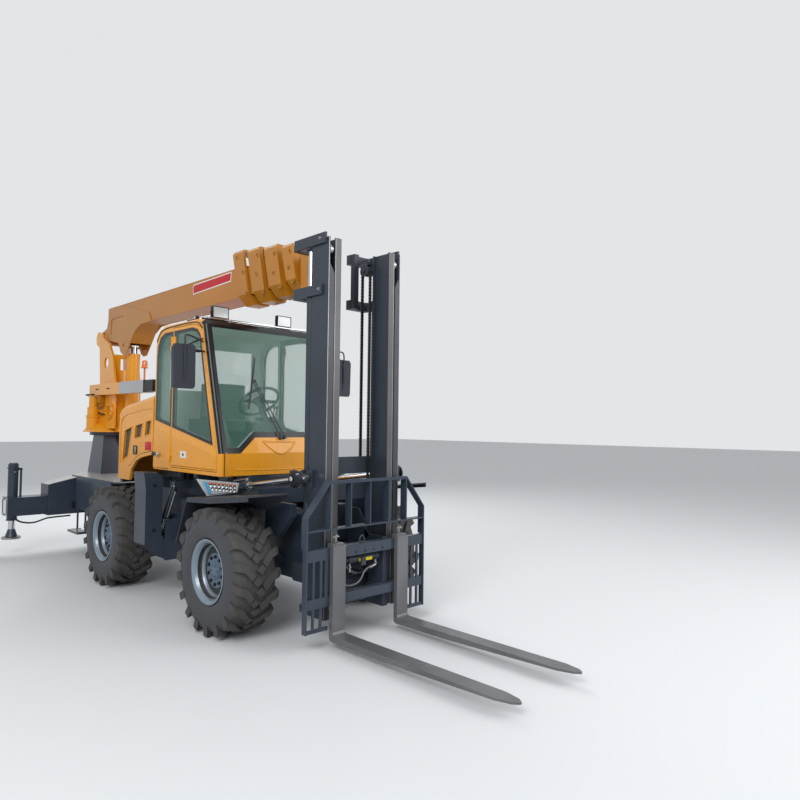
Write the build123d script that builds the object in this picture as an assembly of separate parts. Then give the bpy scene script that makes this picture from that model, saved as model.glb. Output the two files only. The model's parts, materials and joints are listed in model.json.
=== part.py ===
"""Rough-terrain diesel forklift with a full cab, a two-stage mast and a slewing telescopic crane.

Millimetres. +X forward, +Y left, +Z up, ground at z = 0. Shapes are drawn with x = 0 at the
front axle and moved forward by SHIFT_X when they are written, so that the origin lies under
the middle of the whole machine.
"""
from build123d import *
import os
from math import hypot

os.makedirs("parts", exist_ok=True)

# driving sizes
FORK_TIP_X = 2710
TAIL_X = -5200
SHIFT_X = -(FORK_TIP_X + TAIL_X) / 2

WHEELBASE = 2350
TRACK = 1650
TYRE_R = 535
TYRE_W = 400
LUG_H = 30
LUGS_PER_SIDE = 18
RIM_R = 271
HUB_R = 146
HUB_FACE = TRACK / 2 + 101
WHEEL_Z = TYRE_R

RUN = 0.1
GAP = 5

RAIL_IN = 220
RAIL_OUT = 320
RAIL_Z0 = 700
RAIL_Z1 = 1030
FRAME_FRONT_X = 250
DECK_T = 20

CAB_HALF = 680
CAB_Z0 = 1290
CAB_ROOF_Z = 2825
CAB_ROUND = 36
WALL = 40
GLASS_T = 6
SEAL = 28
DOOR_HINGE_X = -1420

MAST_BACK = 600
MAST_FRONT = 831
OUTER_Y = (352, 412)
INNER_Y = (278, 340)
MAST_Z0 = 190
MAST_Z1 = 3350
MAST_PIVOT = (420, 520)

CRANE_X = -4800
FLANGE_Z = 1645
BOOM_Z0 = CAB_ROOF_Z + 295
BOOM_Z1 = BOOM_Z0 + 330
BOOM_HALF = 140
BOOM_WALL = 9
SECTION_STEP = 17
BOOM_PIVOT = (CRANE_X - 130, BOOM_Z0 - 100)


def block(x0, x1, y0, y1, z0, z1):
    return Pos((x0 + x1) / 2, (y0 + y1) / 2, (z0 + z1) / 2) * Box(abs(x1 - x0), abs(y1 - y0), abs(z1 - z0))


def rod_x(x0, x1, y, z, r):
    return Pos((x0 + x1) / 2, y, z) * (Rot(0, 90, 0) * Cylinder(r, abs(x1 - x0)))


def rod_y(y0, y1, x, z, r):
    return Pos(x, (y0 + y1) / 2, z) * (Rot(90, 0, 0) * Cylinder(r, abs(y1 - y0)))


def rod_z(z0, z1, x, y, r):
    return Pos(x, y, (z0 + z1) / 2) * Cylinder(r, abs(z1 - z0))


def bar(p, q, r, bore=0):
    """Round bar or tube from point p to point q."""
    a, b = Vector(*p), Vector(*q)
    plane = Plane(origin=a, z_dir=(b - a))
    shape = plane * Pos(0, 0, (b - a).length / 2) * Cylinder(r, (b - a).length)
    if bore:
        shape = shape - plane * Pos(0, 0, (b - a).length / 2) * Cylinder(bore, (b - a).length + 2)
    return shape


def along(p, q, d):
    """Point at distance d from p towards q, both in a plane."""
    length = hypot(q[0] - p[0], q[1] - p[1])
    return (p[0] + (q[0] - p[0]) * d / length, p[1] + (q[1] - p[1]) * d / length)


def face_xz(points, y=0):
    return make_face(Polyline(*[(x, y, z) for x, z in points], close=True))


def prism_xz(points, y0, y1):
    """Polygon of (x, z) points pushed from y0 to y1."""
    return extrude(face_xz(points, min(y0, y1)), amount=abs(y1 - y0), dir=(0, 1, 0))


def prism_yz(points, x0, x1):
    face = make_face(Polyline(*[(0, y, z) for y, z in points], close=True))
    return Pos(min(x0, x1), 0, 0) * extrude(face, amount=abs(x1 - x0), dir=(1, 0, 0))


def prism_xy(points, z0, z1):
    face = make_face(Polyline(*[(x, y, 0) for x, y in points], close=True))
    return Pos(0, 0, min(z0, z1)) * extrude(face, amount=abs(z1 - z0), dir=(0, 0, 1))


def opening(points, d, y0, y1):
    """Prism of an (x, z) outline pushed outwards by d on every side, or inwards below zero."""
    wire = offset(Wire(Polyline(*[(x, 0, z) for x, z in points], close=True).edges()), amount=d,
                  kind=Kind.INTERSECTION)
    return Pos(0, min(y0, y1), 0) * extrude(make_face(wire.edges()), amount=abs(y1 - y0), dir=(0, 1, 0))


def panel(low, high, y0, y1):
    """Pressed panel: outline low at y0, drawn in to outline high at y1."""
    return loft([face_xz(low, y0), face_xz(high, y1)])


def rounded(points, corner, chosen):
    """Flat face of (a, b) points, the chosen corners rounded."""
    face = make_face(Polyline(*[(a, b, 0) for a, b in points], close=True))
    return fillet([v for v in face.vertices() if chosen(v)], corner)


def lathe_y(profile, x, z):
    """Turn a closed profile of (radius, y) points about the Y axis through x, z."""
    face = make_face(Polyline(*[(r, y, 0) for r, y in profile], close=True))
    return Pos(x, 0, z) * revolve(face, Axis.Y, 360)


def lathe_z(profile, x, y):
    """Turn a closed profile of (radius, z) points about the vertical through x, y."""
    face = make_face(Polyline(*[(r, 0, z) for r, z in profile], close=True))
    return Pos(x, y, 0) * revolve(face, Axis.Z, 360)


def join(parts):
    return parts[0].fuse(*parts[1:]) if len(parts) > 1 else parts[0]


def flip(shape):
    return mirror(shape, about=Plane.XZ)


def both(parts):
    return parts + [flip(p) for p in parts]


NODES = {}


def node(name, parts):
    NODES[name] = join(parts) if isinstance(parts, list) else parts


def pair(name, shape):
    """A left-hand node and its mirror image on the right."""
    NODES[f"{name}_l"] = shape
    NODES[f"{name}_r"] = flip(shape)


# wheels, drawn for the left side: tyre with angled lugs and middle blocks, rim with its hub
MID = TRACK / 2
SEAT_R = RIM_R - 17
CARCASS_R = TYRE_R - LUG_H
# each lug in plan: (forward, outward) corners over the crown, then its middle block
LUG = [(-62, TYRE_W / 2), (2, TYRE_W / 2), (26, 132), (100, 66), (58, 32), (-26, 104)]
MIDDLE_BLOCK = [(106, 60), (150, 20), (110, -22), (66, 24)]


def tyre():
    half = TYRE_W / 2
    side = [(SEAT_R, -150), (SEAT_R + 16, -168), (SEAT_R + 40, -188), (SEAT_R + 85, -half + 3),
            (SEAT_R + 140, -half + 1), (CARCASS_R - 62, -half + 6), (CARCASS_R - 30, -182),
            (CARCASS_R - 10, -158), (CARCASS_R, -115)]
    body = lathe_y([(r, y + MID) for r, y in side + [(r, -y) for r, y in reversed(side)]], 0, 0)
    band = lathe_y([(CARCASS_R - 64, MID - half), (TYRE_R - 12, MID - half), (TYRE_R, MID - half + 30),
                    (TYRE_R, MID + half - 30), (TYRE_R - 12, MID + half), (CARCASS_R - 64, MID + half)], 0, 0)
    lugs = []
    for i in range(LUGS_PER_SIDE):
        for s in (1, -1):
            turn = (i + (0.5 if s < 0 else 0)) * 360 / LUGS_PER_SIDE
            for outline, low in ((LUG, CARCASS_R - 80), (MIDDLE_BLOCK, CARCASS_R - 20)):
                lug = prism_xy([(x, MID + s * y) for x, y in outline], low, TYRE_R + 5)
                lugs.append(Rot(0, turn, 0) * lug & band)
    return body.fuse(*lugs)


def rim():
    ring = lathe_y([(SEAT_R, MID - 150), (SEAT_R, MID + 150), (RIM_R, MID + 176), (RIM_R, MID + 184),
                    (RIM_R - 13, MID + 184), (RIM_R - 30, MID + 170), (RIM_R - 44, MID + 148),
                    (RIM_R - 46, HUB_FACE + 22), (RIM_R - 62, HUB_FACE), (RIM_R - 68, HUB_FACE - 14),
                    (HUB_R - 26, HUB_FACE - 14), (HUB_R - 26, HUB_FACE - 28), (RIM_R - 70, HUB_FACE - 28),
                    (RIM_R - 50, MID - 120), (RIM_R - 30, MID - 178), (RIM_R, MID - 184),
                    (RIM_R, MID - 176)], 0, 0)
    hub = lathe_y([(60 + RUN, 875), (HUB_R, 875), (HUB_R, HUB_FACE), (70, HUB_FACE), (64, HUB_FACE + 16),
                   (0, HUB_FACE + 20), (0, 916), (60 + RUN, 916)], 0, 0)
    return ring.fuse(hub)


TYRE = tyre()
RIM = rim()
for tag, x, side in (("fl", 0, 1), ("fr", 0, -1), ("rl", -WHEELBASE, 1), ("rr", -WHEELBASE, -1)):
    for name, shape in (("tyre", TYRE), ("rim", RIM)):
        NODES[f"{name}_{tag}"] = Pos(x, 0, WHEEL_Z) * (shape if side > 0 else flip(shape))

# axles: front one rigid, rear one with forked ends for the knuckles
KING_Y = 620
STUB_END = 915
front_axle = [rod_y(-600, 600, 0, WHEEL_Z, 95), Pos(0, 0, WHEEL_Z) * Sphere(190)]
front_axle += both([rod_y(590, 800, 0, WHEEL_Z, 165), rod_y(795, STUB_END, 0, WHEEL_Z, 60),
                    block(-90, 90, RAIL_IN + 10, RAIL_OUT - 10, WHEEL_Z, RAIL_Z0)])
rear_axle = [rod_y(-545, 545, -WHEELBASE, WHEEL_Z, 85), Pos(-WHEELBASE, 0, WHEEL_Z) * Sphere(170)]
rear_axle += both([
    block(-WHEELBASE - 90, -WHEELBASE + 90, RAIL_IN + 10, RAIL_OUT - 10, WHEEL_Z, RAIL_Z0),
    block(-WHEELBASE - 65, -WHEELBASE + 65, 500, 550, WHEEL_Z - 190, WHEEL_Z + 190),
    block(-WHEELBASE - 65, -WHEELBASE + 65, 550, 670, WHEEL_Z + 158, WHEEL_Z + 190),
    block(-WHEELBASE - 65, -WHEELBASE + 65, 550, 670, WHEEL_Z - 190, WHEEL_Z - 158),
    rod_z(WHEEL_Z + 100, WHEEL_Z + 160, -WHEELBASE, KING_Y, 30),
    rod_z(WHEEL_Z - 160, WHEEL_Z - 100, -WHEELBASE, KING_Y, 30)])
node("axles", front_axle + rear_axle)

knuckle = join([rod_z(WHEEL_Z - 150, WHEEL_Z + 150, -WHEELBASE, KING_Y, 60),
                rod_y(KING_Y, 800, -WHEELBASE, WHEEL_Z, 120), rod_y(715, 800, -WHEELBASE, WHEEL_Z, 150),
                rod_y(795, STUB_END, -WHEELBASE, WHEEL_Z, 60)])
for z0, z1 in ((99, 170), (-170, -99)):
    knuckle = knuckle - rod_z(WHEEL_Z + z0, WHEEL_Z + z1, -WHEELBASE, KING_Y, 30 + RUN)
pair("knuckle", knuckle)

# frame: two rails, cross members, the platform under the cab, tanks, and brackets for the stands
ARM_X = (-WHEELBASE + 710, -WHEELBASE + 970)
ARM_MID_X = (ARM_X[0] + ARM_X[1]) / 2
ARM_PIVOT = (700, 430)
ARM_TOP_PIN = (580, 1140)
ARM_EYE = (735, 640)
BOX_X = (CRANE_X - 160, CRANE_X + 160)
PLATFORM_HALF = 430
# cross members: rear x, front x, bottom z, top z
CROSS = [(-4000, -3900, 720, 1000), (-3200, -3100, 720, 1000), (-2620, -2560, 735, 780), (-2130, -2070, 735, 780),
         (-1000, -900, 720, 1000), (150, 230, 720, 1000)]
frame = [block(x0, x1, -RAIL_IN, RAIL_IN, z0, z1) for x0, x1, z0, z1 in CROSS]
frame += both([
    block(BOX_X[1] + RUN, FRAME_FRONT_X, RAIL_IN, RAIL_OUT, RAIL_Z0, RAIL_Z1),
    block(ARM_X[1] + 50, -640, RAIL_OUT, 600, 560, 1000),
    block(ARM_X[0] - 20, ARM_X[0] - GAP, RAIL_OUT, 745, 385, 800),
    block(ARM_X[1] + GAP, ARM_X[1] + 20, RAIL_OUT, 745, 385, 800),
    block(ARM_X[0] - 20, ARM_X[1] + 20, RAIL_OUT, 560, 700, 820),
    rod_x(ARM_X[0] - 20, ARM_X[1] + 20, ARM_PIVOT[0], ARM_PIVOT[1], 25),
    block(ARM_MID_X - 60, ARM_MID_X - 45, PLATFORM_HALF, 615, 1100, 1178),
    block(ARM_MID_X + 45, ARM_MID_X + 60, PLATFORM_HALF, 615, 1100, 1178),
    rod_x(ARM_MID_X - 60, ARM_MID_X + 60, ARM_TOP_PIN[0], ARM_TOP_PIN[1], 16),
    block(-2800, -2740, RAIL_IN, RAIL_OUT, RAIL_Z1, 1080),
    block(-1960, -1900, RAIL_IN, RAIL_OUT, RAIL_Z1, 1080)])
frame += [block(-1900, -150, -PLATFORM_HALF, PLATFORM_HALF, RAIL_Z1, 1180),
          block(-2800, -2740, -650, 650, 1080, 1125), block(-1960, -1900, -650, 650, 1080, 1180)]
frame += [rod_z(1170, CAB_Z0, x, y, 55) for x in (-1780, -460) for y in (-360, 360)]
node("frame", frame)

# front frame: plates that carry the mast, fender brackets, tilt cylinder lugs
TILT_Y = 500
TILT_BASE = (-620, 1160)
PLATE_Y = (RAIL_OUT + RUN, RAIL_OUT + 15)
mast_plate = prism_xz([(100, 430), (470, 430), (470, 900), (400, 1000), (100, 1000)], *PLATE_Y)
fender_bracket = join([
    prism_xz([(115, 820), (330, 820), (515, 1010), (515, 1110), (115, 1110)], 470, 520),
    block(115, 250, PLATE_Y[1] + RUN, 480, 900, 960), block(300, 380, 515, 600, 1080, 1110)])
tilt_lug = join([
    block(TILT_BASE[0] - 45, TILT_BASE[0] + 45, TILT_Y - 54, TILT_Y - 44, 1095, 1205),
    block(TILT_BASE[0] - 45, TILT_BASE[0] + 45, TILT_Y + 44, TILT_Y + 54, 1095, 1205),
    block(TILT_BASE[0] - 45, TILT_BASE[0] + 45, PLATFORM_HALF + RUN, TILT_Y + 54, 1085, 1100),
    rod_y(TILT_Y - 60, TILT_Y + 56, TILT_BASE[0], TILT_BASE[1], 22)])
node("front_frame", both([mast_plate.fuse(rod_y(PLATE_Y[1] - 1, 410, MAST_PIVOT[0], MAST_PIVOT[1], 32)),
                          fender_bracket, tilt_lug,
                          block(-330, -230, RAIL_OUT + RUN, 600, 1000, 1030)]))

# rear deck over the rails, with side plates and steps
STEP_X = (-4440, -4060)
DECK_OUTLINE = [(BOX_X[1] + RUN, -600), (-3080, -600), (-2970, -520), (-2970, 520), (-3080, 600),
                (BOX_X[1] + RUN, 600)]
deck = prism_xy(DECK_OUTLINE, RAIL_Z1 + RUN, RAIL_Z1 + DECK_T - RUN)
node("rear_deck", [deck] + both([
    prism_xz([(-4100, 600), (-3160, 600), (-3160, 940), (-3240, RAIL_Z1 + 5), (-4100, RAIL_Z1 + 5)], 580, 600),
    block(-4060, -4000, RAIL_OUT + RUN, 590, 720, RAIL_Z1 + 5),
    block(-3300, -3240, RAIL_OUT + RUN, 590, 720, RAIL_Z1 + 5),
    block(STEP_X[0] - 20, STEP_X[1], 575, 600, 600, RAIL_Z1 + 5),
    block(STEP_X[0], STEP_X[1], 560, 700, 300, 330),
    block(STEP_X[0] + 20, STEP_X[0] + 40, 575, 595, 320, 720),
    block(STEP_X[1] - 60, STEP_X[1] - 40, 575, 595, 320, 720)]))

# crane base: box that holds the outrigger beams, and the column with its flange
BEAM_Z = (530, 773)
BOX_TOP = 1050
box = prism_yz([(-900, 510), (900, 510), (900, 929), (360, BOX_TOP), (-360, BOX_TOP), (-900, 929)], *BOX_X)
box = box - block(BOX_X[0] + 14, BOX_X[1] - 14, -901, 901, BEAM_Z[0] - 8, BEAM_Z[1] + 8)
pads = [block(BOX_X[0] + 60, BOX_X[1] - 60, 840, 900, z0, z1)
        for z0, z1 in ((BEAM_Z[0] - 10, BEAM_Z[0] - RUN), (BEAM_Z[1] + RUN, BEAM_Z[1] + 10))]
column = loft([Pos(CRANE_X, 0, BOX_TOP - RUN) * Rectangle(520, 500),
               Pos(CRANE_X, 0, FLANGE_Z - 40) * Rectangle(400, 400)])
gussets = [prism_xz([(CRANE_X + s * 195, 1400), (CRANE_X + s * 290, FLANGE_Z - 42),
                     (CRANE_X + s * 195, FLANGE_Z - 42)], -8, 8) for s in (1, -1)]
node("crane_base", [box, block(BOX_X[0], BOX_X[1], -12, 12, 510, 1000)] + both(pads)
     + [column, rod_z(FLANGE_Z - 45, FLANGE_Z, CRANE_X, 0, 310),
        rod_z(FLANGE_Z - 5, FLANGE_Z + 30, CRANE_X, 0, 120)] + gussets)

# fenders over the front wheels: bent plate with an inner web and an outer lip
FENDER = [(-560, 700), (-372, 1112), (10, 1136), (620, 1205)]
FENDER_T = 14


def fender():
    top = [(x + (-12 if z < 1000 else 0), z + (4 if z < 1000 else FENDER_T)) for x, z in FENDER]
    plate = prism_xz(FENDER + top[::-1], 600, 1015)
    web = prism_xz([(-340, 1010), (300, 1050), (390, 1085), (600, 1204), (10, 1137), (-372, 1113)], 600, 612)
    lip = prism_xz([(-376, 1086), (10, 1106), (620, 1175), (620, 1219), (10, 1150), (-376, 1126)], 1003, 1015)
    return plate.fuse(web, lip)


node("fenders", both([fender()]))

# lamps: headlamps under the cab corners with the lens as its own solid, roof work lamps, tail lamps
LAMP_X = -300
lamp_face = [(560, 1236), (968, 1292), (884, 1138), (580, 1152)]
lens_face = [(576, 1226), (938, 1276), (872, 1152), (592, 1162)]
lamp = prism_yz(lamp_face, LAMP_X, LAMP_X + 40) - prism_yz(lens_face, LAMP_X + 18, LAMP_X + 41)
lamp = lamp.fuse(prism_xz([(LAMP_X + 1, 1160), (LAMP_X + 1, 1262), (-380, 1250), (-380, 1175)], 600, 880),
                 block(-460, -300, 600, 660, 1225, CAB_Z0 - RUN))
lens = prism_yz(lens_face, LAMP_X + 18 + RUN, LAMP_X + 52)
lens = lens & prism_yz([(577, 1225), (937, 1275), (871, 1153), (593, 1163)], LAMP_X, LAMP_X + 60)
roof_lamp = block(-1025, -985, 300, 480, 2866, 2985).fuse(block(-1030, -1018, 370, 410, CAB_ROOF_Z, 2870))
roof_lens = block(-985 + RUN, -978, 308, 472, 2874, 2977)
tail_lamp = block(STEP_X[0] - 62, STEP_X[0] - 20 - RUN, 500, 640, 600, 690)
node("lamps", both([lamp, lens, roof_lamp, roof_lens, tail_lamp]))


# cab shell: hollow, with windows, doorways and a front panel
FRONT_FOOT = (-400, 1500)
FRONT_HEAD = (-752, 2760)
SIDE = [(FRONT_FOOT[0], CAB_Z0), FRONT_FOOT, FRONT_HEAD, (-800, 2802), (-900, CAB_ROOF_Z), (-1640, CAB_ROOF_Z),
        (-1770, 2790), (-1838, 2700), (-1858, 2600), (-1860, CAB_Z0)]
INNER = [(-440, CAB_Z0 + WALL), (-440, 1505), (-786, 2740), (-830, 2772), (-905, CAB_ROOF_Z - WALL),
         (-1635, CAB_ROOF_Z - WALL), (-1745, 2755), (-1800, 2685), (-1818, 2590), (-1820, CAB_Z0 + WALL)]
DOOR = [(-470, 1330), (-470, 1495), (-797, 2680), (-850, 2735), (-930, 2762), (-1010, 2772), (DOOR_HINGE_X, 2772),
        (DOOR_HINGE_X, 1330)]
DOOR_GLASS = [(-548, 1572), (-838, 2655), (-900, 2715), (-1005, 2742), (DOOR_HINGE_X + 10, 2742),
              (DOOR_HINGE_X + 10, 1738)]
QUARTER = [(-1432, 1742), (-1432, 2742), (-1630, 2742), (-1735, 2700), (-1788, 2620), (-1806, 2520),
           (-1816, 1816)]
# windscreen border and opening: (y, z) corners of the right half, from the foot up
BORDER = [(290, 1650), (470, 1500), (CAB_HALF + 20, 1500), (CAB_HALF + 20, 2775)]
SCREEN = [(300, 1706), (480, 1556), (614, 1556), (614, 2728)]
REAR_WINDOW = (520, 2150, 2680)
DOOR_FACE = (CAB_HALF - WALL + 2, CAB_HALF)

lean = hypot(FRONT_HEAD[0] - FRONT_FOOT[0], FRONT_HEAD[1] - FRONT_FOOT[1])
NORMAL = ((FRONT_HEAD[1] - FRONT_FOOT[1]) / lean, (FRONT_FOOT[0] - FRONT_HEAD[0]) / lean)
cab_form = prism_xz(SIDE, -CAB_HALF, CAB_HALF)
rims = [e for e in cab_form.edges() if abs(e.center().Y) > CAB_HALF - 1 and e.center().Z > CAB_Z0 + 1]
cab_form = fillet(rims, CAB_ROUND)


def mirrored(points):
    return points + [(-y, z) for y, z in reversed(points)]


def front_skin(t):
    """Outermost t of the cab's front, above the front panel."""
    skin = cab_form - Pos(-t * NORMAL[0], 0, -t * NORMAL[1]) * cab_form
    return skin & prism_yz(mirrored(BORDER), -900, -300)


def frame_and_pane(outline, y0, y1):
    """Black border and clear pane of one bonded window."""
    border = opening(outline, -1, y0, y1) - opening(outline, -SEAL - 2, y0 - 1, y1 + 1)
    return [border, opening(outline, -SEAL - 2 - RUN, y0, y1)]


cab = cab_form - prism_xz(INNER, -CAB_HALF + WALL, CAB_HALF - WALL) - front_skin(GLASS_T + RUN)
cab = cab - prism_yz(mirrored(SCREEN), -900, -350)
cab = cab - block(-1900, -1810, -REAR_WINDOW[0], REAR_WINDOW[0], *REAR_WINDOW[1:])
for s in (1, -1):
    cab = cab - opening(DOOR, 6, s * (CAB_HALF - WALL - 5), s * (CAB_HALF + 5))
    cab = cab - prism_xz(QUARTER, s * (CAB_HALF - GLASS_T - RUN), s * (CAB_HALF + 5))
    cab = cab - opening(QUARTER, -SEAL, s * (CAB_HALF - WALL - 5), s * (CAB_HALF + 5))
    cab = cab - block(-410, -392, s * 634, s * 642, CAB_Z0 - 1, 1499)
BULGE = 9
quarter_panel = panel([(-1450, 1300), (-1450, 1728), (-1815, 1802), (-1835, 1790), (-1835, 1300)],
                      [(-1460, 1312), (-1460, 1668), (-1808, 1738), (-1824, 1730), (-1824, 1312)],
                      CAB_HALF - 0.5, CAB_HALF + BULGE)
HINGE_Z = (1440, 2590)
HINGE_AT = (DOOR_HINGE_X - 4, CAB_HALF + 14)
LEAF_Y = (CAB_HALF + RUN, CAB_HALF + 11)
ROOT_Y = (CAB_HALF - 1, CAB_HALF + 11)
hinge_half = []
for z in HINGE_Z:
    hinge_half += [rod_z(z - 45, z, *HINGE_AT, 11), rod_z(z, z + 80, *HINGE_AT, 5),
                   block(HINGE_AT[0] - 50, HINGE_AT[0] + 4, *LEAF_Y, z - 45, z),
                   block(QUARTER[0][0] + 1, HINGE_AT[0] + 4, *ROOT_Y, z - 45, z)]
node("cab_shell", [cab] + both([quarter_panel] + hinge_half))

# glass: windscreen in its black border, quarter windows, rear window
border = front_skin(GLASS_T) - prism_yz(mirrored(SCREEN), -900, -350)
PANE = [(y - RUN, z + (RUN if z < 2000 else -RUN)) for y, z in SCREEN]
pane = front_skin(GLASS_T) & prism_yz(mirrored(PANE), -900, -350)
rear_glass = block(-1846, -1840, -REAR_WINDOW[0], REAR_WINDOW[0], *REAR_WINDOW[1:])
node("cab_glass", [border, pane, rear_glass] + both(frame_and_pane(QUARTER, CAB_HALF - GLASS_T, CAB_HALF)))

# seat, consoles, dash and steering wheel
WHEEL_AT = (-840, 0, 2020)
WHEEL_TILT = -40
seat_back = prism_yz(mirrored([(230, 1795), (235, 2030), (205, 2130), (120, 2205)]), -1640, -1540)
turned = Pos(*WHEEL_AT) * Rot(0, WHEEL_TILT, 0)
node("cab_interior", [
    block(-1560, -1060, -240, 240, 1700, 1800), seat_back, block(-1500, -1120, -200, 200, 1330 + RUN, 1700),
    prism_xz([(-560, 1330 + RUN), (-560, 1640), (-640, 1800), (-800, 1800), (-800, 1330 + RUN)], -180, 180),
    bar((-690, 0, 1780), WHEEL_AT, 34), turned * Torus(210, 15), turned * Box(40, 420, 14)]
    + both([block(-1560, -1000, 300, 420, 1330 + RUN, 1830)]))


# doors: frame with a pressed lower panel, glass in its black border, mirror on its arms
def door():
    y0, y1 = DOOR_FACE
    frame_part = prism_xz(DOOR, y0, y1) - prism_xz(DOOR_GLASS, y1 - GLASS_T - RUN, y1 + 5)
    frame_part = frame_part - opening(DOOR_GLASS, -SEAL, y0 - 5, y1 + 5)
    rear = DOOR_HINGE_X + 24
    lower = panel([(-484, 1340), (-484, 1490), (-545, 1560), (rear, 1722), (rear, 1340)],
                  [(-494, 1352), (-494, 1460), (-548, 1496), (rear + 10, 1660), (rear + 10, 1352)],
                  y1 - 0.5, y1 + BULGE)
    parts = [frame_part, lower, block(-1188, -1058, y1 - 1, y1 + BULGE + 4, 1432, 1502)]
    for z in HINGE_Z:
        parts += [rod_z(z + RUN, z + 90, *HINGE_AT, 11),
                  block(HINGE_AT[0], HINGE_AT[0] + 64, *LEAF_Y, z + RUN, z + 90),
                  block(HINGE_AT[0] + 4, DOOR_HINGE_X + 9, *ROOT_Y, z + RUN, z + 90)]
    frame_part = join(parts)
    for z in HINGE_Z:
        frame_part = frame_part - rod_z(z - 5, z + 82, *HINGE_AT, 5 + RUN)
    return frame_part


def door_mirror():
    head = prism_yz([(856, 2105), (1036, 2105), (1052, 2130), (1060, 2480), (1040, 2516), (866, 2520),
                     (842, 2492), (838, 2130)], -660, -615)
    arms = [bar((-802, CAB_HALF - 2, 2610), (-640, 945, 2500), 9),
            bar((-766, CAB_HALF - 2, 2480), (-640, 945, 2450), 9)]
    return head.fuse(*arms) - prism_xz(DOOR, *DOOR_FACE)


pair("door", door())
pair("door_glass", join(frame_and_pane(DOOR_GLASS, DOOR_FACE[1] - GLASS_T, DOOR_FACE[1])))
pair("mirror", door_mirror())

# roof rail, in front of the roof
RAIL_AT = (-1001, 2838)
node("roof_rail", [rod_y(-666, 666, *RAIL_AT, 13)]
     + [block(RAIL_AT[0] - 9, RAIL_AT[0], y - 12, y + 12, CAB_ROOF_Z, RAIL_AT[1])
        for y in (-640, -220, 220, 640)])

# hood: hollow, its rear corners and shoulders rounded, a pressed side panel with vents, mesh behind them
HOOD_OUT = [(-2850, 1125), (-2846, 1700), (-2832, 1790), (-2800, 1868), (-2745, 1928), (-2660, 1970),
            (-2560, 1998), (-2193, 2054), (-1870, 2090), (-1870, 1440), (-2172, 1396), (-2305, 1348),
            (-2436, 1240), (-2470, 1125)]
HOOD_IN = [(-2820, 1100), (-2816, 1700), (-2780, 1848), (-2650, 1938), (-2190, 2022), (-1860, 2060),
           (-1860, 1100)]
HOOD_PANEL = [(-2765, 1300), (-2768, 1720), (-2748, 1800), (-2690, 1848), (-2574, 1880), (-2182, 1925),
              (-1900, 1945), (-1900, 1470), (-2185, 1432), (-2330, 1378), (-2450, 1290)]
# vents: corners of one tall and two short openings, (x, z)
VENTS = [[(-2648, 1692), (-2440, 1742), (-2535, 1396), (-2700, 1336)],
         [(-2343, 1752), (-2150, 1781), (-2195, 1623), (-2379, 1600)],
         [(-2066, 1800), (-1925, 1814), (-1960, 1659), (-2099, 1634)]]
SHOULDER = 60
HOOD_SLOPE = 0.13
HOOD_WALL = 30
plan = rounded([(-1870, -CAB_HALF), (-1870, CAB_HALF), (-2850, CAB_HALF), (-2850, -CAB_HALF)],
               70, lambda v: v.X < -2800)
across = rounded([(-CAB_HALF, 1000), (CAB_HALF, 1000), (CAB_HALF, 2101), (-CAB_HALF, 2101)],
                 SHOULDER, lambda v: v.Y > 2000)
hood = prism_xz(HOOD_OUT, -CAB_HALF, CAB_HALF) & extrude(plan, amount=3000, dir=(0, 0, 1))
hood = hood & extrude(Pos(-1800, 0, 0) * (Plane.YZ * across), amount=1100, dir=(-1, 0, -HOOD_SLOPE))
hood = hood - prism_xz(HOOD_IN, -CAB_HALF + HOOD_WALL, CAB_HALF - HOOD_WALL)
for s in (1, -1):
    hood = hood - prism_xz(HOOD_PANEL, s * (CAB_HALF - 8), s * (CAB_HALF + 5))
    for vent in VENTS:
        hood = hood - prism_xz(vent, s * (CAB_HALF - HOOD_WALL - 5), s * (CAB_HALF + 5))
node("hood", hood)
MESH_Y = (CAB_HALF - HOOD_WALL - 10, CAB_HALF - HOOD_WALL - RUN)
node("grilles", both([opening(vent, 12, *MESH_Y) for vent in VENTS]))
node("engine", block(-2690, -1980, -200, 200, 780, 1560))

# stands: arms folded up beside the frame, each with its cylinder
ARM_OUTLINE = [(665, 395), (735, 395), (950, 560), (950, 1110), (972, 1280), (835, 1280), (775, 1220),
               (775, 640), (665, 480)]
arm = prism_yz(ARM_OUTLINE, *ARM_X) - rod_x(ARM_X[0] - 1, ARM_X[1] + 1, *ARM_PIVOT, 25 + RUN)
arm = arm - block(ARM_MID_X - 50, ARM_MID_X + 50, 650, 880, 540, 780)
eye_plates = [block(ARM_MID_X + s * 50, ARM_MID_X + s * 70, 705, 800, 600, 690) for s in (1, -1)]
pair("stand_arm", arm.fuse(*eye_plates) - rod_x(ARM_MID_X - 95, ARM_MID_X + 95, *ARM_EYE, 14))


def stand_bar(d0, d1, r, bore=0):
    p, q = along(ARM_TOP_PIN, ARM_EYE, d0), along(ARM_TOP_PIN, ARM_EYE, d1)
    return bar((ARM_MID_X, *p), (ARM_MID_X, *q), r, bore)


stand_barrel = join([stand_bar(20, 380, 34, 17), stand_bar(20, 40, 30),
                     rod_x(ARM_MID_X - 40, ARM_MID_X + 40, *ARM_TOP_PIN, 30)])
pair("stand_barrel", stand_barrel - rod_x(ARM_MID_X - 50, ARM_MID_X + 50, *ARM_TOP_PIN, 16 + RUN))
stand_rod = stand_bar(60, 500, 16).fuse(rod_x(ARM_MID_X - 40, ARM_MID_X + 40, *ARM_EYE, 26))
pair("stand_rod", stand_rod - rod_x(ARM_MID_X - 50, ARM_MID_X + 50, *ARM_EYE, 14))

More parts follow.
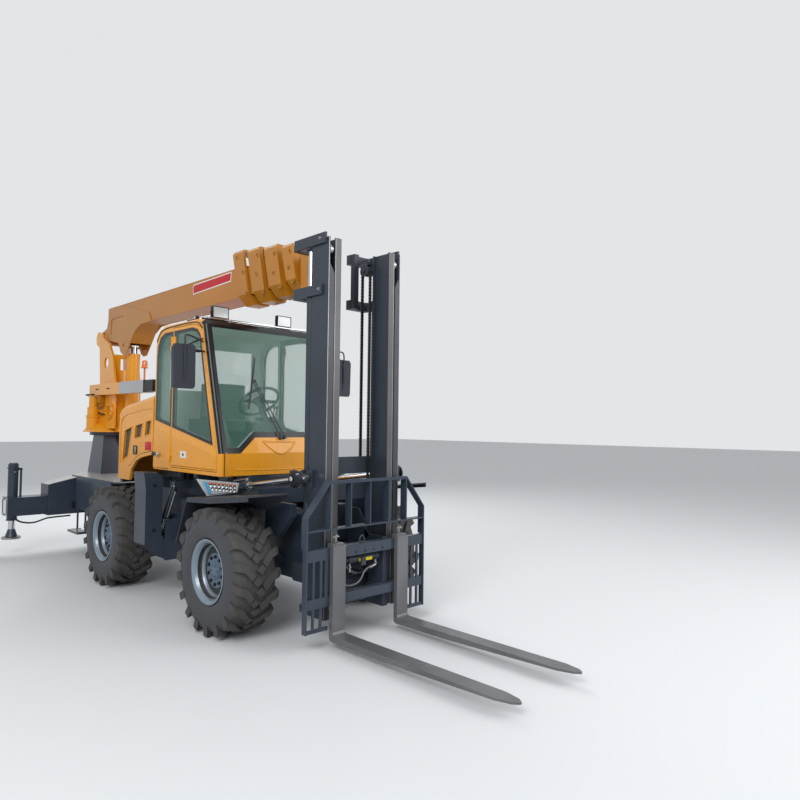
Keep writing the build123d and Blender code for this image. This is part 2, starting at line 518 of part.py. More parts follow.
# rear outriggers: beam with jack barrel, and jack rod with its foot
JACK_Y = 1288
beam = block(BOX_X[0] + 22, BOX_X[1] - 22, 330, 1376, *BEAM_Z)
beam = beam - block(BOX_X[0] + 32, BOX_X[1] - 32, 320, 1150, BEAM_Z[0] + 10, BEAM_Z[1] - 10)
beam = join([beam, rod_z(479, 1213, CRANE_X, JACK_Y, 62), rod_z(BEAM_Z[1], 1150, CRANE_X + 20, JACK_Y - 88, 14),
             block(BOX_X[0] + 14 + RUN, BOX_X[1] - 14 - RUN, 330, 390, BEAM_Z[0] - 8 + RUN, BEAM_Z[1] + 8 - RUN),
             block(CRANE_X + 5, CRANE_X + 35, JACK_Y - 102, JACK_Y - 50, 1130, 1160)])
pair("outrigger", beam - rod_z(400, 1190, CRANE_X, JACK_Y, 43))
pair("jack", lathe_z([(0, 222), (116, 222), (116, 246), (75, 252), (42, 350), (42, 1150), (0, 1150)],
                     CRANE_X, JACK_Y))

# mast: outer channels with cross bars, bows open in the middle, lift cylinder tubes
ROD_AT = (545, 376)
TILT_EYE = (640, 1335)
BOW_X = (330, 390)
# bows: how far forward the side arm reaches, bottom z, top z
BOWS = [(800, 3300, 3390), (760, 2872, 2960)]


def bow(front_x, z0, z1):
    corners = [(front_x, OUTER_Y[1]), (front_x, 432), (BOW_X[0], 432), (BOW_X[0], 192), (BOW_X[1], 192),
               (BOW_X[1], OUTER_Y[1])]
    return extrude(Pos(0, 0, z0) * rounded(corners, 36, lambda v: v.X < BOW_X[1] + 1 and v.Y > 400),
                   amount=z1 - z0, dir=(0, 0, 1))


outer = both([
    block(MAST_BACK, MAST_FRONT, OUTER_Y[1] - 12, OUTER_Y[1], MAST_Z0, MAST_Z1),
    prism_yz([(OUTER_Y[0], MAST_Z0), (OUTER_Y[1], MAST_Z0), (OUTER_Y[1], 3150), (398, 3120), (366, 3070),
              (OUTER_Y[0], 3030)], MAST_FRONT - 16, MAST_FRONT),
    block(MAST_BACK, MAST_BACK + 16, *OUTER_Y, MAST_Z0, MAST_Z1),
    block(BOW_X[1] - 1, BOW_X[1] + 50, 196, 250, BOWS[1][1], BOWS[0][2]),
    block(500, MAST_BACK, 340, 432, 2880, 2950),
    rod_z(230, 2955, *ROD_AT, 38), block(500, 600, 343, 412, 200, 260),
    block(385, 600, 345, 405, 440, 600), rod_y(345, 405, *MAST_PIVOT, 80),
    block(560, 690, 405, 445, 1260, 1400), block(560, 690, 555, 580, 1260, 1400),
    block(560, 585, 405, 580, 1260, 1400),
    block(560, MAST_BACK, *OUTER_Y, 200, 440), block(560, MAST_BACK, *OUTER_Y, 1120, 1270),
] + [bow(*size) for size in BOWS])
outer += [block(560, 585, -OUTER_Y[1], OUTER_Y[1], z0, z1) for z0, z1 in ((200, 440), (1120, 1270))]
outer = join(outer)
for s in (1, -1):
    outer = outer - rod_y(s * 330, s * 411, *MAST_PIVOT, 32 + RUN)
    outer = outer.fuse(rod_y(s * 440, s * 560, *TILT_EYE, 22))
    outer = outer - rod_z(300, 3000, ROD_AT[0], s * ROD_AT[1], 29)
    outer = outer - block(480, 598, s * 405, s * 345, 2955, 3290)
    outer = outer - block(555, 590, s * (TILT_Y - 36), s * (TILT_Y + 36), 1255, 1405)
node("mast_outer", outer)

INNER_Z = (MAST_Z0 + 10, MAST_Z1)
node("mast_inner", both([
    block(612, 820, 303, 315, *INNER_Z), block(606, 622, *INNER_Y, *INNER_Z), block(810, 826, *INNER_Y, *INNER_Z),
    block(500, 592, 215, 400, 3270, 3296), block(592, 606, 278, 340, 3270, 3296),
    rod_y(215, 270, 560, 3210, 48), block(545, 575, 262, 290, 3180, 3280),
    block(545, 610, 280, 330, 3180, 3280)])
    + [block(590, 606, -338, 338, 1350, 1500), block(590, 606, -338, 338, 220, 420)])
node("lift_rods", both([rod_z(330, 3270, *ROD_AT, 28)]))
node("chains", both([block(608, 618, 228, 254, 830, 3210), block(502, 512, 228, 254, 1400, 3210)]))

# carriage: side plates with rollers, two bars, fork stops, side-shift cylinder
ROLLER_END = 303 - RUN
UPPER_BAR = (690, 790)
LOWER_BAR = (330, 410)
node("lift_carriage", both([block(665, 860, 212, 266, 200, 800), rod_y(200, ROLLER_END, 716, 300, 94 - RUN),
                            rod_y(200, ROLLER_END, 716, 700, 94 - RUN)])
     + [block(846, 876, -480, 480, *UPPER_BAR), block(846, 876, -480, 480, *LOWER_BAR),
        block(800, 847, -25, 25, 585, 655), rod_y(-212, 212, 800, 640, 26)])

# side-shift frame with the load guard: flats on edge, slats and stops
BACK_X = (876 + RUN, 918)
GUARD_X = (856, 928)
GUARD_HALF = 664
HEAD_HALF = 436
SHELF_Z = 945
CORNER_Z = 1046
GUARD_TOP = 1329
FLAT = 12
upper = block(*BACK_X, -GUARD_HALF, GUARD_HALF, 700, UPPER_BAR[1])
for y in (-150, -50, 50, 150):
    upper = upper - block(BACK_X[1] - 8, BACK_X[1] + 1, y - 9, y + 9, 716, 734)
shifter = [upper, block(*BACK_X, -GUARD_HALF, GUARD_HALF, *LOWER_BAR),
           block(*GUARD_X, -GUARD_HALF, GUARD_HALF, SHELF_Z - FLAT, SHELF_Z),
           block(903, GUARD_X[1], -HEAD_HALF, HEAD_HALF, GUARD_TOP - 26, GUARD_TOP)]
shifter += [block(*GUARD_X, y - FLAT / 2, y + FLAT / 2, SHELF_Z - 1, GUARD_TOP - 20)
            for y in (-430, -215, 0, 215, 430)]
shifter += both([
    block(*GUARD_X, GUARD_HALF - FLAT, GUARD_HALF, UPPER_BAR[1] + 5, CORNER_Z),
    block(BACK_X[0], GUARD_X[1], GUARD_HALF - FLAT, GUARD_HALF, 145, CORNER_Z),
    prism_yz([(GUARD_HALF, CORNER_Z - 16), (GUARD_HALF, CORNER_Z), (HEAD_HALF, GUARD_TOP),
              (HEAD_HALF, GUARD_TOP - 22)], *GUARD_X),
    block(881, BACK_X[1], 440, 470, 400, 710), block(903, BACK_X[1], 440, GUARD_HALF, 145, 175),
    block(903, BACK_X[1], 500, 520, 150, 710), block(903, BACK_X[1], 574, 594, 150, 710)])
node("side_shifter", shifter)

# forks: shank, rounded heel and tapering blade, with the hook over the upper bar and its pin
FORK_Y = (293, 424)
BLADE_Z = 103
FORK_OUTLINE = [(918, 78), (918, 808), (959, 808), (959, 128), (966, 110), (986, BLADE_Z), (FORK_TIP_X, BLADE_Z),
                (FORK_TIP_X, 90), (1500, 53), (944, 53), (926, 60)]
FORK_PLAN = [(900, FORK_Y[0]), (FORK_TIP_X - 160, FORK_Y[0]), (FORK_TIP_X - 40, 320), (FORK_TIP_X, 350),
             (FORK_TIP_X, 367), (FORK_TIP_X - 40, 397), (FORK_TIP_X - 160, FORK_Y[1]), (900, FORK_Y[1])]
fork = (prism_xz(FORK_OUTLINE, *FORK_Y) & prism_xy(FORK_PLAN, 0, 900)).fuse(
    block(BACK_X[0], 940, FORK_Y[0] + 8, FORK_Y[1] - 8, UPPER_BAR[1] + RUN, 822),
    rod_z(820, 852, 905, sum(FORK_Y) / 2, 12),
    block(884, 920, FORK_Y[0] + 17, FORK_Y[1] - 17, 296, LOWER_BAR[0] - RUN))
node("forks", both([fork]))


# tilt cylinders
def tilt_bar(d0, d1, r, bore=0):
    (x0, z0), (x1, z1) = along(TILT_BASE, TILT_EYE, d0), along(TILT_BASE, TILT_EYE, d1)
    return bar((x0, TILT_Y, z0), (x1, TILT_Y, z1), r, bore)


tilt_barrel = tilt_bar(30, 430, 40, 21).fuse(tilt_bar(30, 60, 36), tilt_bar(418, 436, 46, 21),
                                             rod_y(TILT_Y - 38, TILT_Y + 38, *TILT_BASE, 40))
node("tilt_barrels", both([tilt_barrel - rod_y(TILT_Y - 60, TILT_Y + 60, *TILT_BASE, 22 + RUN)]))
tilt_rod = tilt_bar(250, 1240, 20).fuse(rod_y(TILT_Y - 30, TILT_Y + 30, *TILT_EYE, 40))
node("tilt_rods", both([tilt_rod - rod_y(TILT_Y - 60, TILT_Y + 60, *TILT_EYE, 30)]))

# turret: skirt, body between two tall cheeks, slewing gearbox, valve box, lugs for the luffing cylinder
LUFF_BASE = (CRANE_X + 650, 1725)
LUFF_EYE = (CRANE_X + 690, BOOM_Z0 - 250)
LUFF_R = 88
CHEEK_Y = (BOOM_HALF + 16, BOOM_HALF + 46)
CHEEK_HOLE = (-4629, 2650)
BOSS_AT = (-4431, 1948)
CHEEK = [(-4900, 1700), (-4850, 2330), (-4905, 2890), (-5030, 2950), (-5042, 3060), (-4975, 3128), (-4865, 3112),
         (-4790, 3045), (-4535, 2915), (-4404, 2745), (-4291, 2355), (-4290, 1700)]
GEAR_Y = -286
GEAR = [(0, 1660), (100, 1660), (100, 1700), (88, 1706), (88, 1850), (97, 1856), (97, 1882), (80, 1888),
        (80, 2000), (60, 2010), (60, 2180), (0, 2180)]
VALVE_Y = (-270, -130)
VALVE_Z = (2176, 2334)
VALVE_X = (-5025, -3918, -3127, -2867)
SKIRT = [(0, FLANGE_Z + 2), (400, FLANGE_Z + 2), (400, FLANGE_Z + 18), (255, 1770), (0, 1770)]
cheek = prism_xz(CHEEK, *CHEEK_Y) - rod_y(CHEEK_Y[0] - 1, CHEEK_Y[1] + 1, *CHEEK_HOLE, 80)
web = block(-4430, -4415, -CHEEK_Y[0], CHEEK_Y[0], 2199, 2760) - block(-4440, -4400, -62, 62, 2540, 2700)
turret = join([
    lathe_z(SKIRT, CRANE_X, 0), lathe_z(GEAR, CRANE_X, GEAR_Y), web,
    block(-4990, -4345, -CHEEK_Y[0], CHEEK_Y[0], 1700, 2200),
    block(-4860, -4740, GEAR_Y, -CHEEK_Y[1] + 1, 1700, 1960),
    block(VALVE_X[0], VALVE_X[1], *VALVE_Y, *VALVE_Z),
    block(-4400, -4340, -LUFF_R - 32, LUFF_R + 32, 1655, 1705),
    rod_y(-CHEEK_Y[1], CHEEK_Y[1], *BOOM_PIVOT, 35), rod_y(-LUFF_R - 32, LUFF_R + 32, *LUFF_BASE, 24)]
    + both([cheek, rod_y(CHEEK_Y[1] - 1, CHEEK_Y[1] + 28, *BOSS_AT, 115),
            block(-4350, LUFF_BASE[0] + 70, LUFF_R + 6, LUFF_R + 32, 1655, 1790)]))
for s in (1, -1):
    turret = turret - rod_y(s * (CHEEK_Y[0] - 30), s * (CHEEK_Y[1] + 30), *BOSS_AT, 75)
node("turret", turret - rod_z(FLANGE_Z - 10, FLANGE_Z + 40, CRANE_X, 0, 120 + RUN))
node("valve_cover", [block(VALVE_X[1] + RUN, VALVE_X[2], *VALVE_Y, *VALVE_Z),
                     block(VALVE_X[2] - 1, VALVE_X[3], VALVE_Y[0] + 6, VALVE_Y[1] - 6, VALVE_Z[0] + 6,
                           VALVE_Z[1] - 6)])
BEACON_AT = (-3260, -200)
node("beacon", [lathe_z([(0, 2492), (46, 2492), (46, 2508), (38, 2514), (34, 2576), (26, 2592), (0, 2596)],
                        *BEACON_AT), rod_z(VALVE_Z[1] + RUN, 2493, *BEACON_AT, 12)])

# boom: nested box sections, each with a collar at its front
# collars: rear top x, front top x, height over and under the boom's top and bottom
COLLARS = [(-1175, -965, 180, 90), (-880, -655, 153, 90), (-570, -345, 120, 75), (-260, -90, 78, 60)]
SKEW = 0.25
COLLAR_HALF = BOOM_HALF + 20
PAD = SECTION_STEP - BOOM_WALL
HOOK_PIN = (100, BOOM_Z0 - 80)
# cheek plates at the boom's foot, which carry its pivot and the luffing eye: x and height over the boom's bottom
BOOM_CHEEK = [(-4625, 330), (-4367, 330), (-4088, 295), (-3638, 199), (-3291, 111), (-3212, 1), (-3574, -17),
              (-3758, -103), (-4013, -379), (-4120, -387), (-4205, -343), (-4299, -205), (-4650, -145),
              (-4860, -185), (-4950, -185), (-5012, -130), (-5012, -60), (-4960, -12), (-4740, 40)]


def section(i, x0, x1, shrink=0):
    half = BOOM_HALF - i * SECTION_STEP - shrink
    return block(x0, x1, -half, half, BOOM_Z0 + i * SECTION_STEP + shrink, BOOM_Z1 - i * SECTION_STEP - shrink)


def collar(rear, front, over, under):
    top, foot = BOOM_Z1 + over, BOOM_Z0 - under
    drop = SKEW * (top - foot)
    side = prism_xz([(rear, top), (front, top), (front + drop, foot), (rear + drop + 20, foot)],
                    -COLLAR_HALF, COLLAR_HALF)
    return side & prism_yz(mirrored([(80, foot), (COLLAR_HALF, foot + 110), (COLLAR_HALF, top - 30), (140, top)]),
                           -1300, 300)


for i in range(5):
    half = BOOM_HALF - i * SECTION_STEP
    z0, z1 = BOOM_Z0 + i * SECTION_STEP, BOOM_Z1 - i * SECTION_STEP
    rear = -4720 if i == 0 else -4480 + i * 40
    if i < 4:
        over = COLLARS[i][2]
        front = COLLARS[i][1] + SKEW * over - 5
        shape = section(i, rear, front).fuse(collar(*COLLARS[i])
                                             - block(-1400, 400, -half + 6, half - 6, z1, BOOM_Z1 + over - 26))
        shape = shape - section(i, rear - 10 if i else rear + 60, 400, BOOM_WALL)
        shape = shape.fuse(block(front - 60, front, -50, 50, z0 + BOOM_WALL - 2, z0 + SECTION_STEP - RUN))
    else:
        head = prism_xz([(20, BOOM_Z1 - 50), (120, BOOM_Z1 - 40), (190, BOOM_Z1 - 110), (190, BOOM_Z0 + 60),
                         (160, BOOM_Z0 - 60), (132, BOOM_Z0 - 128), (72, BOOM_Z0 - 128), (30, BOOM_Z0 - 60)],
                        -120, 120)
        shape = section(i, rear, 60).fuse(head) - section(i, rear - 10, 40, BOOM_WALL)
        shape = shape - block(70, 201, -60, 60, BOOM_Z0 - 220, BOOM_Z1)
        shape = shape - block(0, 201, -60, 60, BOOM_Z0 - 220, BOOM_Z0 - 25)
        shape = shape.fuse(rod_y(-119, 119, *HOOK_PIN, 18))
    if i == 0:
        cover = prism_xz([(-3574, BOOM_Z0 + 1), (-3758, BOOM_Z0 - 103), (-3885, BOOM_Z0 - 240),
                          (-3895, BOOM_Z0 - 232), (-3766, BOOM_Z0 - 92), (-3592, BOOM_Z0 + 1)],
                         -BOOM_HALF, BOOM_HALF)
        plate = prism_xz([(x, BOOM_Z0 + z) for x, z in BOOM_CHEEK], BOOM_HALF - 0.5, BOOM_HALF + 10)
        shape = shape.fuse(cover, *both([plate, rod_y(56, BOOM_HALF + 1, *LUFF_EYE, 42)]))
        shape = shape.fuse(rod_y(-BOOM_HALF - 10, BOOM_HALF + 10, *BOOM_PIVOT, 82))
        shape = shape - rod_y(-BOOM_HALF - 20, BOOM_HALF + 20, *BOOM_PIVOT, 35 + RUN)
        shape = shape - rod_y(-BOOM_HALF - 20, BOOM_HALF + 20, *LUFF_EYE, 24)
    else:
        reach = half + PAD - RUN
        shape = shape.fuse(block(rear + 10, rear + 90, -reach, reach, z0 - PAD + RUN, z1 + PAD - RUN)
                           - section(i, rear, rear + 100, 3))
    node(f"boom_{i + 1}", shape)


# luffing cylinder
def luff_bar(d0, d1, r, bore=0):
    (x0, z0), (x1, z1) = along(LUFF_BASE, LUFF_EYE, d0), along(LUFF_BASE, LUFF_EYE, d1)
    return bar((x0, 0, z0), (x1, 0, z1), r, bore)


luff_barrel = luff_bar(46, 1030, LUFF_R).fuse(rod_y(-LUFF_R - 2, LUFF_R + 2, *LUFF_BASE, 60))
node("luff_barrel", luff_barrel - luff_bar(96, 1050, 46) - rod_y(-95, 95, *LUFF_BASE, 24 + RUN))
luff_rod = luff_bar(100, 1140, 45).fuse(rod_y(-50, 50, *LUFF_EYE, 45))
node("luff_rod", luff_rod - rod_y(-60, 60, *LUFF_EYE, 24))

# hook: link that hangs from the boom head's pin; (x, z) from the pin
LINK = [(-35, 0), (-25, -340), (-60, -440), (-55, -620), (-20, -705), (5, -620), (12, -440), (20, -340), (35, 0)]
link = prism_xz([(HOOK_PIN[0] + x, HOOK_PIN[1] + z) for x, z in LINK], -30, 30)
node("hook", link.fuse(rod_y(-30, 30, *HOOK_PIN, 38)) - rod_y(-40, 40, *HOOK_PIN, 18 + RUN))

for name, shape in NODES.items():
    export_step(Pos(SHIFT_X, 0, 0) * shape, f"parts/{name}.step")
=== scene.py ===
# %% [markdown]
# # A rough-terrain forklift that carries a crane
# The machine is a yellow and dark blue-grey forklift with a cab, a lifting mast and, behind, a
# slewing telescopic crane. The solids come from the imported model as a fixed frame. This lesson
# gives each of them a finish and adds the trim that sits on them. Everything is in metres:
# +X is forward, +Y is the machine's left, and z = 0 is the ground.

# %% Load the frame
import bpy
import bmesh
import json
from math import radians, cos, sin, pi
from mathutils import Vector, Matrix


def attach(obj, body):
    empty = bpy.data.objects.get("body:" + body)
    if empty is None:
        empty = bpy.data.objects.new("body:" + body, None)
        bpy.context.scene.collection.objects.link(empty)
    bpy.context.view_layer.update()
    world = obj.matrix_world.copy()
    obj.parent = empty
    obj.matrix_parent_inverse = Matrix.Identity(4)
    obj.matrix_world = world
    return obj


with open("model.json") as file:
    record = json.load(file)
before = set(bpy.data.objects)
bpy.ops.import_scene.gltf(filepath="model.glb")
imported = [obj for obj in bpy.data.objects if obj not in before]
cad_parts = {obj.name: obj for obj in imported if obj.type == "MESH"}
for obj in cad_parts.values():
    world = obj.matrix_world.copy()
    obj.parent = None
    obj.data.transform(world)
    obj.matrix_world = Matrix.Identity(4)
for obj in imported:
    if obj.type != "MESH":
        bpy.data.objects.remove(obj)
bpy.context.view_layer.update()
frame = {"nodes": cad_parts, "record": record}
scene = bpy.context.scene
SHIFT = 1.245  # the front axle's place along X; the trim's places are given from that axle
AXLE_Z, HUB_FACE, COVER_FACE = 0.535, 0.9255, 0.9455
CRANE_X, JACK_Y = -4.800, 1.288


def show(name, data):
    thing = bpy.data.objects.new(name, data)
    scene.collection.objects.link(thing)
    return thing


def set_inputs(node, values):
    for label, value in values.items():
        node.inputs[label].default_value = value


# %% [markdown]
# ## Camera
# The photograph was taken from the front right at eye height. The place and the direction below
# were fitted to the wheels, the forks and the mast, so the camera only has to be set to them.

# %% Camera at the photograph's place
EYE = Vector((5.031 + SHIFT, -3.709, 1.774))
YAW, PITCH, ROLL = (radians(angle) for angle in (135.42, 2.34, 0.63))
SENSOR_MM, FOCAL_PX, PICTURE_PX = 36.0, 646.1, 800


def camera_axes(yaw, pitch, roll):
    look = Vector((cos(yaw) * cos(pitch), sin(yaw) * cos(pitch), sin(pitch)))
    right = Vector((sin(yaw), -cos(yaw), 0))
    up = right.cross(look)
    return look, cos(roll) * right + sin(roll) * up, cos(roll) * up - sin(roll) * right


look, right, up = camera_axes(YAW, PITCH, ROLL)
lens = bpy.data.cameras.new("camera")
lens.sensor_width = SENSOR_MM
lens.lens = SENSOR_MM * FOCAL_PX / PICTURE_PX
lens.clip_start = 0.05
lens.clip_end = 200
camera = show("camera", lens)
turn = Matrix((right, up, -look)).transposed().to_4x4()
camera.matrix_world = Matrix.Translation(EYE) @ turn
scene.camera = camera
print("lens", round(lens.lens, 2))


# %% [markdown]
# ## Node groups for paint, grime and grain
# Paint on a working machine is never one flat colour. Its tone drifts, dust lies on what faces
# up and low down, and its shine is blotched. One group makes that drift as a mask, and each
# material mixes its own colours with it. Groups put out only values and colours, so the surface
# shader itself stays in the material.

# %% Group that drifts a colour and a roughness over a surface
def new_group(name, inputs, outputs):
    group = bpy.data.node_groups.new(name, "ShaderNodeTree")
    for label, value in inputs.items():
        kind = "NodeSocketColor" if isinstance(value, tuple) else "NodeSocketFloat"
        group.interface.new_socket(label, in_out="INPUT", socket_type=kind).default_value = value
    for label, kind in outputs:
        group.interface.new_socket(label, in_out="OUTPUT", socket_type=kind)
    into = group.nodes.new("NodeGroupInput")
    out = group.nodes.new("NodeGroupOutput")
    return group, into, out


def math_node(tree, kind, a, b=None, clamp=False):
    node = tree.nodes.new("ShaderNodeMath")
    node.operation = kind
    node.use_clamp = clamp
    for i, value in enumerate((a, b)):
        if value is None:
            continue
        if isinstance(value, (int, float)):
            node.inputs[i].default_value = value
        else:
            tree.links.new(value, node.inputs[i])
    return node.outputs[0]


def mix_colour(tree, factor, a, b):
    node = tree.nodes.new("ShaderNodeMix")
    node.data_type = "RGBA"
    for index, value in ((0, factor), (6, a), (7, b)):
        if isinstance(value, (int, float, tuple)):
            node.inputs[index].default_value = value
        else:
            tree.links.new(value, node.inputs[index])
    return node.outputs[2]


def noise(tree, coords, scale, detail=4.0, rough=0.5):
    node = tree.nodes.new("ShaderNodeTexNoise")
    set_inputs(node, {"Scale": scale, "Detail": detail, "Roughness": rough})
    tree.links.new(coords, node.inputs["Vector"])
    return node.outputs["Fac"]


def ramp(tree, value, low, high):
    node = tree.nodes.new("ShaderNodeMapRange")
    set_inputs(node, {"From Min": low, "From Max": high})
    tree.links.new(value, node.inputs["Value"])
    return node.outputs["Result"]


def make_surface_group():
    group, into, out = new_group(
        "surface_drift",
        {"Colour": (0.5, 0.5, 0.5, 1), "Dust colour": (0.35, 0.31, 0.26, 1), "Dust": 0.3, "Dust height": 1.2,
         "Drift": 0.12, "Roughness": 0.35, "Bump": 0.05, "Grain": 300.0},
        [("Colour", "NodeSocketColor"), ("Roughness", "NodeSocketFloat"), ("Normal", "NodeSocketVector")])

    link = group.links.new

    def calc(kind, first, second, clamp=False):
        return math_node(group, kind, first, second, clamp)

    coords = group.nodes.new("ShaderNodeTexCoord").outputs["Object"]
    split = group.nodes.new("ShaderNodeSeparateXYZ")
    link(coords, split.inputs[0])
    normal = group.nodes.new("ShaderNodeNewGeometry").outputs["Normal"]
    facing = group.nodes.new("ShaderNodeSeparateXYZ")
    link(normal, facing.inputs[0])
    broad = noise(group, coords, 2.3, 3.0)
    blotch = noise(group, coords, 14.0, 6.0, 0.6)
    fine = noise(group, coords, 90.0, 5.0, 0.65)
    height = calc("DIVIDE", split.outputs["Z"], into.outputs["Dust height"])
    low = calc("SUBTRACT", 1.0, height, clamp=True)
    up_facing = ramp(group, facing.outputs["Z"], 0.2, 1.0)
    reach = calc("ADD", calc("MULTIPLY", low, 0.8), calc("MULTIPLY", up_facing, 0.5))
    patch = ramp(group, blotch, 0.35, 0.75)
    speck = ramp(group, fine, 0.45, 0.7)
    dust = calc("MULTIPLY", reach, calc("ADD", calc("MULTIPLY", patch, 0.7), calc("MULTIPLY", speck, 0.3)))
    dust = calc("MULTIPLY", dust, into.outputs["Dust"], clamp=True)
    shade = calc("MULTIPLY", calc("SUBTRACT", broad, 0.5), into.outputs["Drift"])
    lift = calc("ADD", 1.0, calc("MULTIPLY", shade, 2.0))
    tint = group.nodes.new("ShaderNodeVectorMath")
    tint.operation = "SCALE"
    link(into.outputs["Colour"], tint.inputs[0])
    link(lift, tint.inputs["Scale"])
    colour = mix_colour(group, dust, tint.outputs[0], into.outputs["Dust colour"])
    link(colour, out.inputs["Colour"])
    rough = calc("ADD", into.outputs["Roughness"], calc("MULTIPLY", dust, 0.5))
    rough = calc("ADD", rough, calc("MULTIPLY", calc("SUBTRACT", blotch, 0.5), 0.15), clamp=True)
    link(rough, out.inputs["Roughness"])
    grain = group.nodes.new("ShaderNodeTexNoise")
    grain.inputs["Detail"].default_value = 3.0
    link(coords, grain.inputs["Vector"])
    link(into.outputs["Grain"], grain.inputs["Scale"])
    bump = group.nodes.new("ShaderNodeBump")
    bump.inputs["Distance"].default_value = 0.002
    link(into.outputs["Bump"], bump.inputs["Strength"])
    link(grain.outputs["Fac"], bump.inputs["Height"])
    link(bump.outputs["Normal"], out.inputs["Normal"])
    return group


SURFACE = make_surface_group()
print("group", SURFACE.name)


# %% [markdown]
# ## Materials
# Each finish below is one principled shader. The group gives it a drifting colour, dust that lies
# low and on top, and a fine bump. Paint gets a clear coat, bare steel is metallic, rubber is dull.

# %% Finish maker
def new_material(name):
    material = bpy.data.materials.new(name)
    material.use_nodes = True
    return material, material.node_tree.nodes["Principled BSDF"]


def finish(name, colour, roughness=0.35, metallic=0.0, coat=0.0, dust=0.25, height=1.3, drift=0.1, bump=0.05,
           grain=300.0, dust_colour=(0.30, 0.27, 0.23), specular=0.4):
    material, shader = new_material(name)
    tree = material.node_tree
    group = tree.nodes.new("ShaderNodeGroup")
    group.node_tree = SURFACE
    set_inputs(group, {"Colour": (*colour, 1), "Dust colour": (*dust_colour, 1), "Dust": dust, "Dust height": height,
                       "Drift": drift, "Roughness": roughness, "Bump": bump, "Grain": grain})
    for source, target in (("Colour", "Base Color"), ("Roughness", "Roughness"), ("Normal", "Normal")):
        tree.links.new(group.outputs[source], shader.inputs[target])
    set_inputs(shader, {"Metallic": metallic, "Coat Weight": coat, "Coat Roughness": 0.08,
                        "Specular IOR Level": specular})
    return material


YELLOW = finish("amber_enamel", (0.78, 0.320, 0.010), 0.28, coat=0.35, dust=0.06, drift=0.10)
BOOM_YELLOW = finish("boom_enamel", (0.44, 0.170, 0.008), 0.36, coat=0.2, dust=0.10, drift=0.16)
DARK = finish("chassis_enamel", (0.034, 0.047, 0.070), 0.30, coat=0.1, dust=0.12, drift=0.2, specular=0.3)
MAST_DARK = finish("mast_enamel", (0.036, 0.044, 0.060), 0.36, coat=0.05, dust=0.08, drift=0.2, specular=0.25)
FENDER_BLACK = finish("moulded_fender", (0.026, 0.031, 0.042), 0.42, dust=0.14, bump=0.2, grain=600, specular=0.3)
TRIM = finish("grained_trim", (0.036, 0.042, 0.054), 0.5, dust=0.06, bump=0.25, grain=900, specular=0.3)
LAMP_BODY = finish("lamp_body", (0.010, 0.010, 0.012), 0.4, dust=0.06, specular=0.3)
MESH = finish("vent_mesh", (0.095, 0.088, 0.085), 0.6, dust=0.2, bump=0.8, grain=420, specular=0.2)
CHROME = finish("bright_steel", (0.62, 0.62, 0.63), 0.12, metallic=1.0, dust=0.05, drift=0.05)
IRON = finish("engine_iron", (0.10, 0.11, 0.12), 0.6, metallic=0.3, dust=0.4)
SILVER = finish("silver_enamel", (0.42, 0.43, 0.45), 0.34, metallic=0.4, coat=0.2, dust=0.12)
AMBER_LENS = finish("amber_lens", (0.75, 0.16, 0.01), 0.15, coat=0.8, dust=0.0)
RUBBER = finish("tyre_rubber", (0.048, 0.052, 0.060), 0.5, dust=0.35, height=1.2, bump=0.3, grain=220,
                dust_colour=(0.11, 0.098, 0.085), specular=0.35)
TREAD = finish("tread_rubber", (0.064, 0.062, 0.064), 0.66, dust=0.34, height=1.8, bump=0.5, grain=180,
               dust_colour=(0.145, 0.125, 0.105), specular=0.25)
RIM_SILVER = finish("rim_enamel", (0.215, 0.275, 0.33), 0.32, metallic=0.4, coat=0.2, dust=0.15)
HUB_BLUE = finish("hub_enamel", (0.085, 0.13, 0.19), 0.42, coat=0.1, dust=0.2)
RIM_DARK = finish("rim_shade", (0.030, 0.030, 0.033), 0.5, dust=0.3, specular=0.2)
CHAIN = finish("oiled_chain", (0.07, 0.066, 0.06), 0.45, metallic=0.7, dust=0.15)
FORK = finish("worn_fork", (0.150, 0.153, 0.160), 0.32, metallic=0.35, dust=0.2, drift=0.5, specular=0.35,
              dust_colour=(0.16, 0.145, 0.13))
STEEL = finish("bare_steel", (0.105, 0.105, 0.108), 0.42, metallic=0.5, dust=0.1, drift=0.3, specular=0.3)
RAIL_STEEL = finish("rubbed_rail", (0.062, 0.066, 0.074), 0.40, metallic=0.4, dust=0.1, drift=0.3, specular=0.3)
# Pale steel for thin strips along the mast's front corners: a painted highlight on those edges.
EDGE_HIGHLIGHT = finish("painted_edge_highlight", (0.42, 0.415, 0.405), 0.34, metallic=0.6, dust=0.1, drift=0.3)
SHINY_BLACK = finish("bonded_border", (0.006, 0.007, 0.009), 0.2, dust=0.01, specular=0.35)
LINING = finish("cab_lining", (0.44, 0.50, 0.46), 0.6, dust=0.05, bump=0.15, grain=700, specular=0.2)
SEAT_CLOTH = finish("seat_vinyl", (0.09, 0.115, 0.11), 0.55, dust=0.05, bump=0.35, grain=650, specular=0.3)
WHITE = finish("white_plate", (0.72, 0.72, 0.70), 0.35, dust=0.05, drift=0.04)
RED = finish("red_plate", (0.50, 0.010, 0.020), 0.36, dust=0.05, drift=0.05, specular=0.25)
LABEL_YELLOW = finish("yellow_plate", (0.85, 0.66, 0.01), 0.4, dust=0.0, drift=0.05, specular=0.2)
HOSE = finish("hose_rubber", (0.014, 0.015, 0.018), 0.45, dust=0.1, bump=0.2, grain=900, specular=0.3)
NUT = finish("black_nut", (0.016, 0.018, 0.022), 0.4, metallic=0.3, dust=0.15, specular=0.3)
ZINC = finish("zinc_fitting", (0.36, 0.355, 0.34), 0.30, metallic=0.85, dust=0.1, drift=0.25)
BRAID = finish("braided_hose", (0.19, 0.19, 0.185), 0.5, metallic=0.3, dust=0.1, bump=0.6, grain=900)
BLUE_LENS = finish("pale_blue_lens", (0.10, 0.42, 0.68), 0.12, coat=0.5, dust=0.0)
